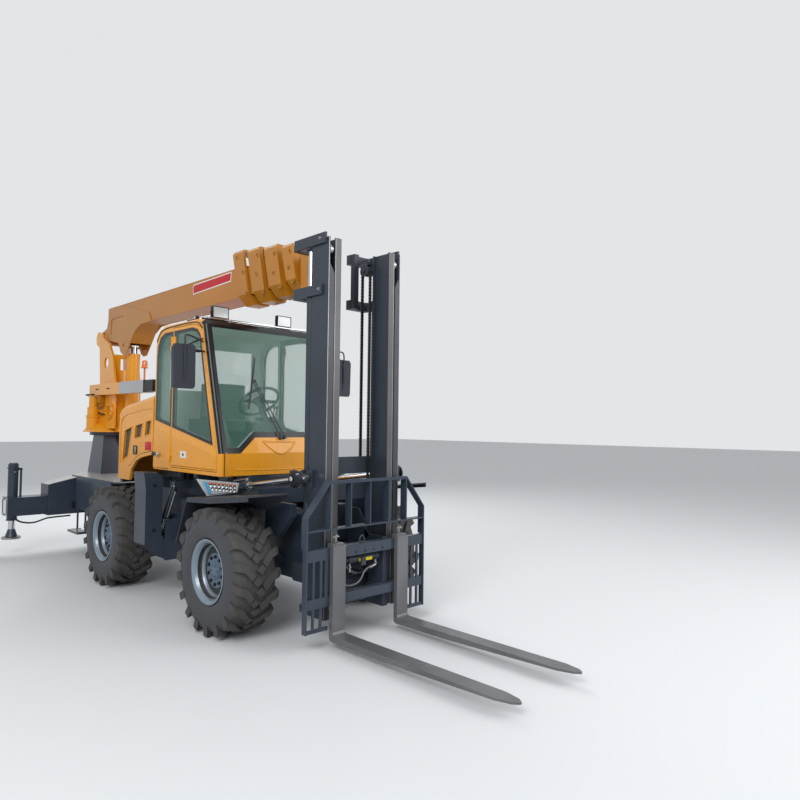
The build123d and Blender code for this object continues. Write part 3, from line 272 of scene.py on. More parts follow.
ORANGE_LENS = finish("orange_lens", (0.66, 0.16, 0.04), 0.15, coat=0.5, dust=0.0)
CLEAR_LENS = finish("clear_lens", (0.60, 0.65, 0.67), 0.12, metallic=0.2, coat=0.6, dust=0.0, bump=0.5, grain=90,
                    drift=0.3)
# Pale grey for the deck's up-facing tops: a painted reflection of the sky, with dust on it.
DECK_SKY_SHEEN = finish("deck_sky_sheen", (0.46, 0.455, 0.44), 0.22, coat=0.2, dust=0.5, drift=0.3, height=3.0,
                   dust_colour=(0.36, 0.34, 0.31))


def glass(name, colour, alpha):
    material, shader = new_material(name)
    set_inputs(shader, {"Base Color": (*colour, 1), "Roughness": 0.03, "Alpha": alpha, "Specular IOR Level": 0.45})
    material.surface_render_method = "BLENDED"
    return material


WINDOW = glass("window_glass", (0.16, 0.34, 0.27), 0.20)
print("materials", len(bpy.data.materials))

# %% Finishes for the solids
BY_SLOT = {
    "body_paint": YELLOW, "chassis_paint": DARK, "mast_paint": MAST_DARK, "fender_plastic": FENDER_BLACK,
    "lamp_black": LAMP_BODY, "window_glass": WINDOW, "trim_black": TRIM, "bright_steel": CHROME, "mesh_black": MESH,
    "engine_iron": IRON, "silver_paint": SILVER, "lens_amber": AMBER_LENS, "tyre_rubber": RUBBER,
    "rim_silver": RIM_SILVER, "chain_steel": CHAIN, "fork_steel": FORK, "foot_steel": DARK}
SLOT_OF = {part["node"]: part["material_slot"] for part in frame["record"]["subparts"]}


def dress(node, material):
    mesh = frame["nodes"][node].data
    mesh.materials.clear()
    mesh.materials.append(material)


for node_name, slot_name in SLOT_OF.items():
    dress(node_name, BY_SLOT[slot_name])
for node_name in ("boom_1", "boom_2", "boom_3", "boom_4", "boom_5", "hook"):
    dress(node_name, BOOM_YELLOW)
print("dressed", len(SLOT_OF), "nodes")


# %% [markdown]
# ## Two finishes on one casting
# A rim is one pressing, yet its hub is painted blue-grey and its well lies in shade, and a window is
# clear in the middle with a baked black border. On the real machine one part carries both finishes,
# so the faces of the solid are sorted by where they lie and get a second or third material.

# %% Painting faces by place
def paint_faces(node, material, test):
    mesh = frame["nodes"][node].data
    mesh.materials.append(material)
    slot = len(mesh.materials) - 1
    chosen = [face for face in mesh.polygons
              if test(face.center.x - SHIFT, face.center.y, face.center.z, face.normal)]
    for face in chosen:
        face.material_index = slot
    print(node, material.name, len(chosen))


def inside(u, v, outline):
    hit = False
    for (u0, v0), (u1, v1) in zip(outline, outline[1:] + outline[:1]):
        if (v0 > v) != (v1 > v) and u < u0 + (v - v0) * (u1 - u0) / (v1 - v0):
            hit = not hit
    return hit


def edge_distance(u, v, outline):
    best = 9.0
    for (u0, v0), (u1, v1) in zip(outline, outline[1:] + outline[:1]):
        start, run = Vector((u0, v0)), Vector((u1 - u0, v1 - v0))
        share = max(0.0, min(1.0, (Vector((u, v)) - start).dot(run) / run.length_squared))
        best = min(best, (start + share * run - Vector((u, v))).length)
    return best


SIDES = (("left", "l", 1), ("right", "r", -1))
AXLES = (("f", 0.0), ("r", -2.35))
BORDER = 0.03005
HUB_R, WELL_R, TREAD_R = 0.15, 0.204, 0.462
SCREEN = [(-0.614, 2.728), (-0.614, 1.556), (-0.480, 1.556), (-0.300, 1.706), (0.300, 1.706), (0.480, 1.556),
          (0.614, 1.556), (0.614, 2.728)]
QUARTER = [(-1.432, 1.742), (-1.432, 2.742), (-1.630, 2.742), (-1.735, 2.700), (-1.788, 2.620), (-1.806, 2.520),
           (-1.816, 1.816)]
DOOR_GLASS = [(-0.548, 1.572), (-0.838, 2.655), (-0.900, 2.715), (-1.005, 2.742), (-1.400, 2.742), (-1.400, 1.738)]
CAB_SIDE = [(-0.400, 1.290), (-0.400, 1.500), (-0.752, 2.760), (-0.800, 2.802), (-0.900, 2.825), (-1.640, 2.825),
            (-1.770, 2.790), (-1.838, 2.700), (-1.858, 2.600), (-1.860, 1.290)]

# %% Wheels, glass, mast, lamps and jacks in two finishes
for end, axle_x in AXLES:
    for side, letter, s in SIDES:
        rim, tyre = f"rim_{end}{letter}", f"tyre_{end}{letter}"

        def reach(x, z):
            return ((x - axle_x) ** 2 + (z - AXLE_Z) ** 2) ** 0.5

        paint_faces(rim, HUB_BLUE, lambda x, y, z, n: reach(x, z) < HUB_R and abs(y) > 0.9)
        paint_faces(rim, RIM_DARK, lambda x, y, z, n: (HUB_R <= reach(x, z) < WELL_R and abs(y) > 0.88)
                    or (0.2145 < reach(x, z) < 0.250 and 0.925 < abs(y) < 0.975))
        paint_faces(tyre, TREAD, lambda x, y, z, n: reach(x, z) > TREAD_R)

paint_faces("cab_glass", SHINY_BLACK, lambda x, y, z, n: (x > -0.9 and not inside(y, z, SCREEN))
            or (abs(y) > 0.66 and x < -1.4 and edge_distance(x, z, QUARTER) < BORDER))
for side, letter, s in SIDES:
    paint_faces(f"door_glass_{letter}", SHINY_BLACK, lambda x, y, z, n: edge_distance(x, z, DOOR_GLASS) < BORDER)
    paint_faces(f"door_{letter}", TRIM, lambda x, y, z, n: abs(y) < 0.6425
                or (abs(y) < 0.6735 and edge_distance(x, z, DOOR_GLASS) < 0.0305))
    paint_faces(f"door_{letter}", WHITE, lambda x, y, z, n: abs(y) > 0.6905 and -1.2 < x < -1.05 and z < 1.51)
    paint_faces(f"jack_{letter}", CHROME, lambda x, y, z, n: z > 0.350)
    paint_faces(f"jack_{letter}", ZINC, lambda x, y, z, n: z < 0.2475)
paint_faces("cab_shell", LINING, lambda x, y, z, n: abs(y) <= 0.6405 and inside(x, z, CAB_SIDE)
            and edge_distance(x, z, CAB_SIDE) > 0.004)
paint_faces("cab_shell", SHINY_BLACK, lambda x, y, z, n: 0.6405 < abs(y) < 0.6735 and x < -1.43
            and inside(x, z, CAB_SIDE) and edge_distance(x, z, QUARTER) < 0.0305)
paint_faces("cab_shell", SHINY_BLACK, lambda x, y, z, n: -0.90 < x < -0.752 and z > 2.762 and n.x > 0.2 and n.z > 0.1)
for node_name, front, steel in (("mast_outer", 0.831, RAIL_STEEL), ("mast_inner", 0.826, STEEL)):
    paint_faces(node_name, steel, lambda x, y, z, n: n.x > 0.9 and abs(x - front) < 0.002)
paint_faces("lamps", CLEAR_LENS, lambda x, y, z, n: (-0.2819 < x < -0.2 and z < 1.4) or (-0.9845 < x < -0.97))
paint_faces("lamps", ORANGE_LENS, lambda x, y, z, n: x < -4.0 and n.x < -0.9)
paint_faces("valve_cover", LAMP_BODY, lambda x, y, z, n: -3.1275 < x < -2.5)
# The up-facing faces of the rear deck and the low crane base turn pale grey, a painted reflection of the sky, with
# dust.
paint_faces("rear_deck", DECK_SKY_SHEEN, lambda x, y, z, n: n.z > 0.9)
paint_faces("crane_base", DECK_SKY_SHEEN, lambda x, y, z, n: n.z > 0.9 and z < 1.3)


# %% [markdown]
# ## Tools for the trim
# Bolts, plates, pins and hoses repeat all over the machine. Each helper adds one simple form to a
# mesh under construction, and `part` closes the mesh, shades it and fixes it to its body. Places
# are given from the front axle, because every size on the machine was read from there.

# %% Mesh helpers
UP = (0, 0, 1)


def empty_meshes(count):
    return [bmesh.new() for i in range(count)]


def add_block(bm, low, high, bevel=0.0):
    made = bmesh.ops.create_cube(bm, size=1.0)["verts"]
    low, high = Vector(low), Vector(high)
    bmesh.ops.scale(bm, vec=[abs(v) for v in high - low], verts=made)
    bmesh.ops.translate(bm, vec=(low + high) / 2, verts=made)
    if bevel:
        edges = list(dict.fromkeys(edge for vert in made for edge in vert.link_edges))
        bmesh.ops.bevel(bm, geom=edges, offset=bevel, segments=2, profile=0.5, affect="EDGES", material=-1)


def add_rod(bm, start, end, radius, segments=20, end_radius=None):
    start, end = Vector(start), Vector(end)
    run = end - start
    turn = run.to_track_quat("Z", "Y").to_matrix().to_4x4()
    bmesh.ops.create_cone(bm, cap_ends=True, segments=segments, radius1=radius,
                          radius2=radius if end_radius is None else end_radius, depth=run.length,
                          matrix=Matrix.Translation((start + end) / 2) @ turn)


def add_bolt(bm, at, along, radius, height):
    at, along = Vector(at), Vector(along).normalized()
    add_rod(bm, at, at + along * height * 0.25, radius * 1.35, 20)
    add_rod(bm, at + along * height * 0.25, at + along * height, radius, 6)


def add_bolt_ring(bm, count, at, along, ring, radius, height, start=0.0):
    for i in range(count):
        a = 2 * pi * (i + start) / count
        run, rise = ring * cos(a), ring * sin(a)
        spot = (at[0] + run, at[1] + rise, at[2]) if along[2] else (at[0] + run, at[1], at[2] + rise)
        add_bolt(bm, spot, along, radius, height)


def add_ball(bm, at, radius, around=16, down=10):
    bmesh.ops.create_uvsphere(bm, u_segments=around, v_segments=down, radius=radius, matrix=Matrix.Translation(at))


def add_turned(bm, profile, at, along, steps=40):
    turn = Vector(along).to_track_quat("Z", "Y").to_matrix().to_4x4()
    place = Matrix.Translation(Vector(at)) @ turn
    verts = [bm.verts.new(place @ Vector((r, 0, h))) for r, h in profile]
    edges = [bm.edges.new(pair) for pair in zip(verts, verts[1:])]
    bmesh.ops.spin(bm, geom=verts + edges, cent=place.translation, axis=turn @ Vector((0, 0, 1)),
                   angle=2 * pi, steps=steps, use_merge=True)


def on_side(s, points):
    return [(x, s * y, z) for x, y, z in points]


def at_x(x, places, s=1):
    return [(x, s * y, z) for y, z in places]


def at_y(y, places):
    return [(x, y, z) for x, z in places]


def add_plate(bm, outline, depth):
    face = bm.faces.new([bm.verts.new(point) for point in outline])
    made = bmesh.ops.extrude_face_region(bm, geom=[face])["geom"]
    bmesh.ops.translate(bm, vec=depth, verts=[item for item in made if isinstance(item, bmesh.types.BMVert)])


def part(name, bm, material, body, slot=None, angle=35):
    bmesh.ops.remove_doubles(bm, verts=bm.verts, dist=1e-5)
    bmesh.ops.recalc_face_normals(bm, faces=bm.faces)
    bmesh.ops.translate(bm, vec=(SHIFT, 0, 0), verts=bm.verts)
    mesh = bpy.data.meshes.new(name)
    bm.to_mesh(mesh)
    bm.free()
    mesh.shade_smooth()
    mesh.set_sharp_from_angle(angle=radians(angle))
    mesh.materials.append(material)
    piece = show(name, mesh)
    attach(piece, body)
    return piece


def hose(name, points, radius, material, body):
    curve = bpy.data.curves.new(name, "CURVE")
    curve.dimensions = "3D"
    curve.bevel_depth = radius
    curve.bevel_resolution = 3
    curve.resolution_u = 8
    curve.use_fill_caps = True
    line = curve.splines.new("NURBS")
    line.points.add(len(points) - 1)
    for spot, (x, y, z) in zip(line.points, points):
        spot.co = (x + SHIFT, y, z, 1)
    line.order_u = 3
    line.use_endpoint_u = True
    curve.materials.append(material)
    piece = show(name, curve)
    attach(piece, body)


print("helpers ready")


# %% [markdown]
# ## Wheel nuts and hub cover
# Ten nuts hold each rim to its hub, and a small cover closes the planetary gear inside. The nuts are
# black and stand on raised seats, which is what makes the hub read as a hub from a few steps away.

# %% Wheel nuts
for end, axle_x in AXLES:
    for side, letter, s in SIDES:
        nuts, covers = empty_meshes(2)
        hub = (axle_x, s * HUB_FACE, AXLE_Z)
        add_bolt_ring(nuts, 10, hub, (0, s, 0), 0.116, 0.0125, 0.016, start=0.5)
        add_bolt_ring(covers, 6, (axle_x, s * COVER_FACE, AXLE_Z), (0, s, 0), 0.048, 0.006, 0.007)
        add_turned(covers, [(0.068, 0), (0.080, 0), (0.078, 0.008), (0.068, 0.010), (0.068, 0)], hub, (0, s, 0))
        part(f"wheel_nuts_{end}{letter}", nuts, NUT, f"wheel_{end}{letter}")
        part(f"hub_cover_{end}{letter}", covers, HUB_BLUE, f"wheel_{end}{letter}")
print("wheel nuts", 40)


# %% [markdown]
# ## Door and hood hardware
# The hood's vents have pressed lips, and its latch is a black pocket with a pull. The door has a key
# plate, and when it stands open a rod with a bright ball end on the body catches it. The drip rail
# over the doorway is a thin rubber section, and each mirror's glass is a thin bright plate.

# %% Vents, latches and catches
VENT_Y, SEAM_Y, DRIP_Y, CATCH_Y, CATCH_Z = 0.6725, 0.676, 0.682, 0.706, 1.452
VENTS = [[(-2.648, 1.692), (-2.440, 1.742), (-2.535, 1.396), (-2.700, 1.336)],
         [(-2.343, 1.752), (-2.150, 1.781), (-2.195, 1.623), (-2.379, 1.600)],
         [(-2.066, 1.800), (-1.925, 1.814), (-1.960, 1.659), (-2.099, 1.634)]]
SEAM = [(-1.872, 1.478), (-2.000, 1.460), (-2.185, 1.434), (-2.330, 1.380), (-2.440, 1.296), (-2.500, 1.285)]
DRIP = [(-0.800, 2.715), (-0.860, 2.772), (-0.960, 2.794), (-1.200, 2.797), (-1.640, 2.790), (-1.765, 2.745),
        (-1.815, 2.660)]
MIRROR = [(0.864, 2.115), (1.030, 2.115), (1.042, 2.140), (1.049, 2.475), (1.034, 2.505), (0.872, 2.509),
          (0.852, 2.485), (0.848, 2.140)]
for side, letter, s in SIDES:
    lips = bmesh.new()
    for vent in VENTS:
        for (x0, z0), (x1, z1) in zip(vent, vent[1:] + vent[:1]):
            add_rod(lips, (x0, s * VENT_Y, z0), (x1, s * VENT_Y, z1), 0.0065, 12)
            add_ball(lips, (x0, s * VENT_Y, z0), 0.0065, 12, 8)
    part(f"vent_lips_{letter}", lips, YELLOW, "chassis", "body_paint")
    latch, pull = empty_meshes(2)
    add_block(latch, (-2.392, s * 0.671, 1.424), (-2.286, s * 0.681, 1.524), 0.004)
    add_block(pull, (-2.330, s * 0.680, 1.436), (-2.296, s * 0.687, 1.512), 0.003)
    part(f"hood_latch_{letter}", latch, LAMP_BODY, "chassis", "trim_black")
    part(f"hood_pull_{letter}", pull, ZINC, "chassis", "bright_steel")
    label = bmesh.new()
    add_block(label, (-2.080, s * 0.6715, 1.480), (-1.915, s * 0.6735, 1.575), 0.0008)
    part(f"hood_label_{letter}", label, RED, "chassis")
    hose(f"hood_seam_{letter}", at_y(s * SEAM_Y, SEAM), 0.005, LAMP_BODY, "chassis")
    key = bmesh.new()
    add_rod(key, (-1.123, s * 0.692, 1.467), (-1.123, s * 0.6965, 1.467), 0.014, 20)
    add_block(key, (-1.140, s * 0.692, 1.463), (-1.106, s * 0.6945, 1.471), 0.001)
    part(f"key_hole_{letter}", key, LAMP_BODY, f"door_{side}", "trim_black")
    catch, ball = empty_meshes(2)
    add_block(catch, (-1.835, s * 0.688, 1.430), (-1.795, s * 0.702, 1.474), 0.004)
    add_rod(catch, (-1.815, s * CATCH_Y, CATCH_Z), (-1.690, s * CATCH_Y, CATCH_Z), 0.010, 16)
    add_rod(catch, (-1.700, s * 0.688, 1.452), (-1.700, s * 0.710, 1.452), 0.013, 16)
    add_turned(ball, [(0, -0.006), (0.010, -0.006), (0.011, 0.010), (0.022, 0.016), (0.026, 0.030), (0.020, 0.044),
                      (0, 0.050)], (-1.690, s * CATCH_Y, CATCH_Z), (1, 0, 0), 24)
    part(f"door_catch_{letter}", catch, TRIM, "chassis", "trim_black")
    part(f"catch_ball_{letter}", ball, CHROME, "chassis", "bright_steel")
    hose(f"drip_rail_{letter}", at_y(s * DRIP_Y, DRIP), 0.006, HOSE, "chassis")
    silver = bmesh.new()
    add_plate(silver, at_x(-0.6625, MIRROR, s), (0.004, 0, 0))
    part(f"mirror_silver_{letter}", silver, CHROME, f"door_{side}", "bright_steel")
    ridge = bmesh.new()
    add_block(ridge, (-0.616, s * 0.940, 2.180), (-0.609, s * 0.956, 2.440), 0.003)
    add_block(ridge, (-0.632, s * 0.930, 2.425), (-0.600, s * 0.962, 2.465), 0.006)
    part(f"mirror_ridge_{letter}", ridge, TRIM, f"door_{side}", "trim_black")
print("hardware on both sides")


# %% [markdown]
# ## Wiper, front panel and roof rail
# The wiper's two arms run side by side from the pivots under the glass to the blade, so the blade
# stays upright as it sweeps. The panel below carries a pressed crescent and creases, which stiffen
# the sheet. The mirrors hang on bent tubes. Clamps hold the bright rail to the roof, and the work
# lamps stand on it. In the headlamps, rows of small bright cups throw the light forward.

# %% Wiper and pressings
OUT = Vector((0.963, 0, 0.269))


def on_glass(x, y, z, lift):
    return Vector((x, y, z)) + OUT * lift


wiper = bmesh.new()
pivots = [on_glass(-0.434, -0.007, 1.644, 0.018), on_glass(-0.436, 0.040, 1.650, 0.018)]
apex = [on_glass(-0.589, -0.246, 2.201, 0.022), on_glass(-0.589, -0.225, 2.205, 0.022)]
for low, high in zip(pivots, apex):
    add_rod(wiper, low, high, 0.0055, 12)
    add_rod(wiper, low - OUT * 0.026, low + OUT * 0.012, 0.017, 20)
    add_rod(wiper, high - OUT * 0.010, high + OUT * 0.010, 0.010, 16)
add_rod(wiper, apex[0], apex[1], 0.010, 12)
blade = [on_glass(-0.659, -0.185, 2.451, 0.012), on_glass(-0.513, -0.331, 1.928, 0.012)]
add_rod(wiper, blade[0], blade[1], 0.0075, 10)
for share in (0.08, 0.36, 0.64, 0.92):
    spot = blade[0].lerp(blade[1], share)
    add_rod(wiper, spot + OUT * 0.012, spot - OUT * 0.004, 0.008, 8)
add_rod(wiper, blade[0].lerp(blade[1], 0.2) + OUT * 0.012, blade[0].lerp(blade[1], 0.8) + OUT * 0.012, 0.005, 8)
add_rod(wiper, (blade[0] + blade[1]) / 2, apex[0], 0.012, 12)
part("wiper", wiper, TRIM, "chassis", "trim_black")


def pressing(name, points, radius):
    hose(name, points, radius, YELLOW, "chassis")


CREASE = [(-0.404, 0.620, 1.512), (-0.400, 0.600, 1.470), (-0.400, 0.580, 1.410), (-0.400, 0.557, 1.302)]
TUBE = [(-0.776, 0.684, 2.575), (-0.720, 0.790, 2.600), (-0.650, 0.915, 2.612), (-0.612, 0.952, 2.600),
        (-0.604, 0.950, 2.500), (-0.603, 0.948, 2.250)]
STAY = [(-0.750, 0.684, 2.480), (-0.690, 0.790, 2.482), (-0.610, 0.948, 2.484)]
pressing("front_crescent", [(-0.432, -0.213, 1.615), (-0.416, -0.150, 1.556), (-0.401, -0.080, 1.504),
                            (-0.400, -0.014, 1.486), (-0.401, 0.055, 1.504), (-0.414, 0.118, 1.548),
                            (-0.430, 0.170, 1.608)], 0.009)
pressing("front_lip", [(-0.432, -0.213, 1.615), (-0.431, -0.130, 1.608), (-0.430, -0.020, 1.606),
                       (-0.430, 0.090, 1.605), (-0.430, 0.170, 1.608)], 0.007)
for side, letter, s in SIDES:
    pressing(f"front_crease_{letter}", on_side(s, CREASE), 0.007)
pressing("front_swage", at_x(-0.400, [(0.520, 1.345), (0.250, 1.338), (0, 1.336), (-0.250, 1.338),
                                      (-0.520, 1.345)]), 0.006)
strips, moulding = empty_meshes(2)
for side, letter, s in SIDES:
    add_block(strips, (-0.4090, s * 0.6345, 1.292), (-0.3985, s * 0.6415, 1.498))
    for name, bend in (("tube", TUBE), ("stay", STAY)):
        hose(f"mirror_{name}_{letter}", on_side(s, bend), 0.008, TRIM, f"door_{side}")
part("panel_grooves", strips, LAMP_BODY, "chassis", "trim_black")
add_rod(moulding, (-0.872, -0.655, 2.8320), (-0.872, 0.655, 2.8320), 0.0125, 24)
for y in (-0.655, 0.655):
    add_ball(moulding, (-0.872, y, 2.832), 0.0125, 20, 12)
part("roof_moulding", moulding, CHROME, "chassis", "bright_steel")

# %% Roof rail clamps and work lamps
LEAD = [(-1.030, 0.430, 2.880), (-1.060, 0.450, 2.872), (-1.075, 0.530, 2.845), (-1.060, 0.600, 2.840),
        (-1.100, 0.640, 2.836), (-1.200, 0.645, 2.831)]
clamps, lamp_trim = empty_meshes(2)
for y in (-0.640, -0.220, 0.220, 0.640):
    add_turned(clamps, [(0.0128, -0.016), (0.019, -0.016), (0.021, -0.010), (0.021, 0.010), (0.019, 0.016),
                        (0.0128, 0.016)], (-1.001, y, 2.838), (0, 1, 0), 24)
    add_bolt(clamps, (-1.001, y, 2.857), UP, 0.006, 0.010)
part("rail_clamps", clamps, LAMP_BODY, "chassis", "trim_black")
for side, letter, s in SIDES:
    for y in (0.296, 0.484):
        add_block(lamp_trim, (-1.016, s * y - 0.003, 2.838), (-0.992, s * y + 0.003, 2.935), 0.001)
        add_bolt(lamp_trim, (-1.004, s * y, 2.925), (0, s if y > 0.4 else -s, 0), 0.007, 0.010)
    add_block(lamp_trim, (-1.010, s * 0.296, 2.850), (-0.994, s * 0.484, 2.856), 0.001)
    for i in range(9):
        y = 0.312 + i * 0.0195
        add_block(lamp_trim, (-1.040, s * y - 0.003, 2.875), (-1.024, s * y + 0.003, 2.975), 0.001)
    for z in (2.866, 2.979):
        add_block(lamp_trim, (-0.986, s * 0.300, z), (-0.974, s * 0.480, z + 0.006), 0.001)
    for y in (0.300, 0.474):
        add_block(lamp_trim, (-0.986, s * y, 2.866), (-0.974, s * (y + 0.006), 2.985), 0.001)
    hose(f"lamp_lead_{letter}", on_side(s, LEAD), 0.006, HOSE, "chassis")
part("roof_lamp_trim", lamp_trim, LAMP_BODY, "chassis", "lamp_black")
print("roof lamps trimmed")

# %% Headlamp reflectors
LENS_X, LENS_SLOPE, CELL_Y, STRIP_Y = -0.2485, 0.14, 0.622, 0.605
for side, letter, s in SIDES:
    cells, strip, blue = empty_meshes(3)
    for z, y_end in ((1.202, 0.858), (1.172, 0.838)):
        for i in range(7):
            y = CELL_Y + i * (y_end - CELL_Y) / 6
            add_turned(cells, [(0.004, -0.006), (0.012, -0.002), (0.018, 0.004), (0.0165, 0.006), (0.004, 0.001)],
                       (-0.249, s * y, z + LENS_SLOPE * (y - CELL_Y)), (1, 0, 0), 16)
    for i in range(7):
        near = STRIP_Y + 0.041 * i
        far = near + 0.034
        add_plate(strip, [(LENS_X, s * y, z + LENS_SLOPE * (y - STRIP_Y)) for y, z in
                          ((near, 1.223), (far, 1.223), (far, 1.210), (near, 1.210))], (0.004, 0, 0))
    add_plate(blue, at_x(LENS_X, [(0.892, 1.264), (0.930, 1.269), (0.872, 1.158), (0.846, 1.158)], s), (0.004, 0, 0))
    part(f"headlamp_cells_{letter}", cells, CHROME, "chassis", "bright_steel")
    part(f"headlamp_strip_{letter}", strip, ORANGE_LENS, "chassis", "lens_amber")
    part(f"headlamp_side_{letter}", blue, BLUE_LENS, "chassis", "window_glass")
print("headlamp cells", 28)


# %% [markdown]
# ## Mast fittings
# The rails run on rollers, whose edges show in the open top of each outer channel. Bolts hold the
# bows, and round bosses cover the pins where the tilt rods grip the mast. Leaf chains are stacks of
# flat links on pins, so their faces show a row of small steps.

# %% Rollers, bolts, bosses and chains
TILT_X, TILT_Z = 0.640, 1.335
rollers, bolts, bosses, boss_pins = empty_meshes(4)
for s in (1, -1):
    add_turned(rollers, [(0, 0), (0.030, 0), (0.032, 0.004), (0.044, 0.006), (0.044, 0.036), (0.030, 0.040),
                         (0, 0.040)], (0.770, s * 0.347, 3.256), (0, s, 0), 32)
    add_rod(rollers, (0.770, s * 0.386, 3.256), (0.770, s * 0.401, 3.256), 0.020, 20)
    for x, z in ((0.735, 3.345), (0.725, 2.916)):
        add_bolt(bolts, (x, s * 0.4315, z), (0, s, 0), 0.011, 0.015)
    add_turned(bosses, [(0.030, 0), (0.074, 0), (0.074, 0.012), (0.062, 0.018), (0.058, 0.030), (0.040, 0.034),
                        (0.030, 0.034)], (TILT_X, s * 0.580, TILT_Z), (0, s, 0), 40)
    add_turned(bosses, [(0.024, 0), (0.052, 0), (0.054, 0.014), (0.045, 0.020), (0.024, 0.020)],
               (TILT_X, s * 0.555, TILT_Z), (0, -s, 0), 32)
    add_turned(boss_pins, [(0, 0), (0.022, 0), (0.022, 0.046), (0.014, 0.052), (0, 0.052)],
               (TILT_X, s * 0.578, TILT_Z), (0, s, 0), 24)
    add_bolt(boss_pins, (0.690, s * 0.593, 1.375), (0, s, 0), 0.009, 0.014)
# Thin pale strips wrap the front corners of both channels: a painted highlight where the edges meet the light.
for body, front, y, low in (("mast", 0.831, 0.4120, 0.195), ("mast_slide", 0.826, 0.3400, 0.205)):
    edges = bmesh.new()
    for s in (1, -1):
        add_block(edges, (front - 0.003, s * (y - 0.0025), low), (front + 0.0006, s * (y + 0.0006), 3.350))
    part(f"edge_highlight_strips_{body}", edges, EDGE_HIGHLIGHT, body, "bright_steel")
part("mast_rollers", rollers, ZINC, "mast", "bright_steel")
part("bow_bolts", bolts, ZINC, "mast", "bright_steel")
part("tilt_bosses", bosses, NUT, "mast", "mast_paint")
part("tilt_boss_pins", boss_pins, CHROME, "mast", "bright_steel")

LINK_PITCH = 0.030
links, sheaves = empty_meshes(2)
for s in (1, -1):
    for x, z0, z1 in ((0.613, 0.850, 3.200), (0.507, 1.420, 3.200)):
        for i in range(int((z1 - z0) / LINK_PITCH)):
            z = z0 + i * LINK_PITCH
            add_rod(links, (x, s * 0.2245, z), (x, s * 0.2575, z), 0.0065, 8)
            if i % 2:
                add_block(links, (x - 0.0075, s * 0.231, z - 0.012), (x + 0.0075, s * 0.251, z + 0.012))
    add_turned(sheaves, [(0.022, 0), (0.054, 0), (0.056, 0.003), (0.054, 0.006), (0.022, 0.006), (0.022, 0)],
               (0.560, s * 0.209, 3.210), (0, s, 0), 36)
    add_turned(sheaves, [(0, 0), (0.020, 0), (0.020, 0.016), (0.014, 0.020), (0, 0.020)],
               (0.560, s * 0.215, 3.210), (0, -s, 0), 24)
part("chain_links", links, CHAIN, "mast_slide", "chain_steel")
part("sheave_sides", sheaves, MAST_DARK, "mast_slide", "mast_paint")


# %% [markdown]
# ## Side shift and fork pins
# The side-shift cylinder is a dark sleeve with a blank yellow plate and one hose. Spring pins with
# small knobs lock the forks in the bar's notches, and a lifting ring stands on the bar.

# %% Carriage fittings
sleeve, fittings, label = empty_meshes(3)
add_turned(sleeve, [(0.0262, 0), (0.036, 0), (0.037, 0.030), (0.032, 0.034), (0.032, 0.300), (0.037, 0.304),
                    (0.038, 0.336), (0.0262, 0.338)], (0.800, -0.150, 0.640), (0, 1, 0), 36)
add_block(label, (0.828, -0.040, 0.618), (0.8335, 0.110, 0.646), 0.001)
for y, drop in ((-0.125, 0.075), (0.172, 0.055)):
    add_rod(fittings, (0.803, y, 0.612), (0.806, y, 0.612 - drop), 0.011, 16)
    add_rod(fittings, (0.806, y, 0.585), (0.806, y, 0.575), 0.016, 6)
add_rod(fittings, (0.806, 0.172, 0.560), (0.806, 0.100, 0.548), 0.012, 16)
add_rod(fittings, (0.806, 0.130, 0.553), (0.806, 0.112, 0.550), 0.017, 6)
part("shift_sleeve", sleeve, MAST_DARK, "carriage", "chassis_paint")
part("shift_label", label, LABEL_YELLOW, "carriage")
part("shift_fittings", fittings, ZINC, "carriage", "bright_steel")
hose("shift_hose", [(0.806, 0.108, 0.549), (0.806, 0.060, 0.541), (0.806, 0.030, 0.500), (0.806, 0.000, 0.450),
                    (0.806, -0.050, 0.425), (0.806, -0.130, 0.420), (0.806, -0.180, 0.440), (0.780, -0.205, 0.470)],
     0.008, BRAID, "carriage")
knobs = bmesh.new()
for s in (1, -1):
    add_turned(knobs, [(0, 0), (0.008, 0), (0.008, 0.020), (0.020, 0.024), (0.022, 0.034), (0.014, 0.042),
                       (0, 0.044)], (0.905, s * 0.3585, 0.850), UP, 24)
    add_rod(knobs, (0.905, s * 0.3585 - 0.030, 0.872), (0.905, s * 0.3585 + 0.030, 0.872), 0.007, 12)
part("fork_pin_knobs", knobs, ZINC, "shifter", "bright_steel")
ring = bmesh.new()
add_block(ring, (0.884, -0.085, 0.7895), (0.912, -0.055, 0.800), 0.002)
part("ring_seat", ring, MAST_DARK, "shifter", "mast_paint")
hose("lifting_ring", [(0.898, -0.095, 0.797), (0.898, -0.100, 0.830), (0.898, -0.070, 0.858), (0.898, -0.040, 0.830),
                      (0.898, -0.045, 0.797)], 0.007, MAST_DARK, "shifter")
print("carriage fittings done")


# %% [markdown]
# ## Hydraulics
# Steel pipes run along the cylinders, and flexible hoses lead on from them where parts move. Hoses
# end in plated fittings, because a hose alone can't be sealed.

# %% Tilt cylinders, stands and outriggers
LEAN = Vector((1.26, 0, 0.175)).normalized()


def on_tilt(s, run, side=0.0, lift=0.0):
    up = Vector((-LEAN.z, 0, LEAN.x))
    return Vector((-0.620, s * 0.500, 1.160)) + LEAN * run + Vector((0, s * side, 0)) + up * lift


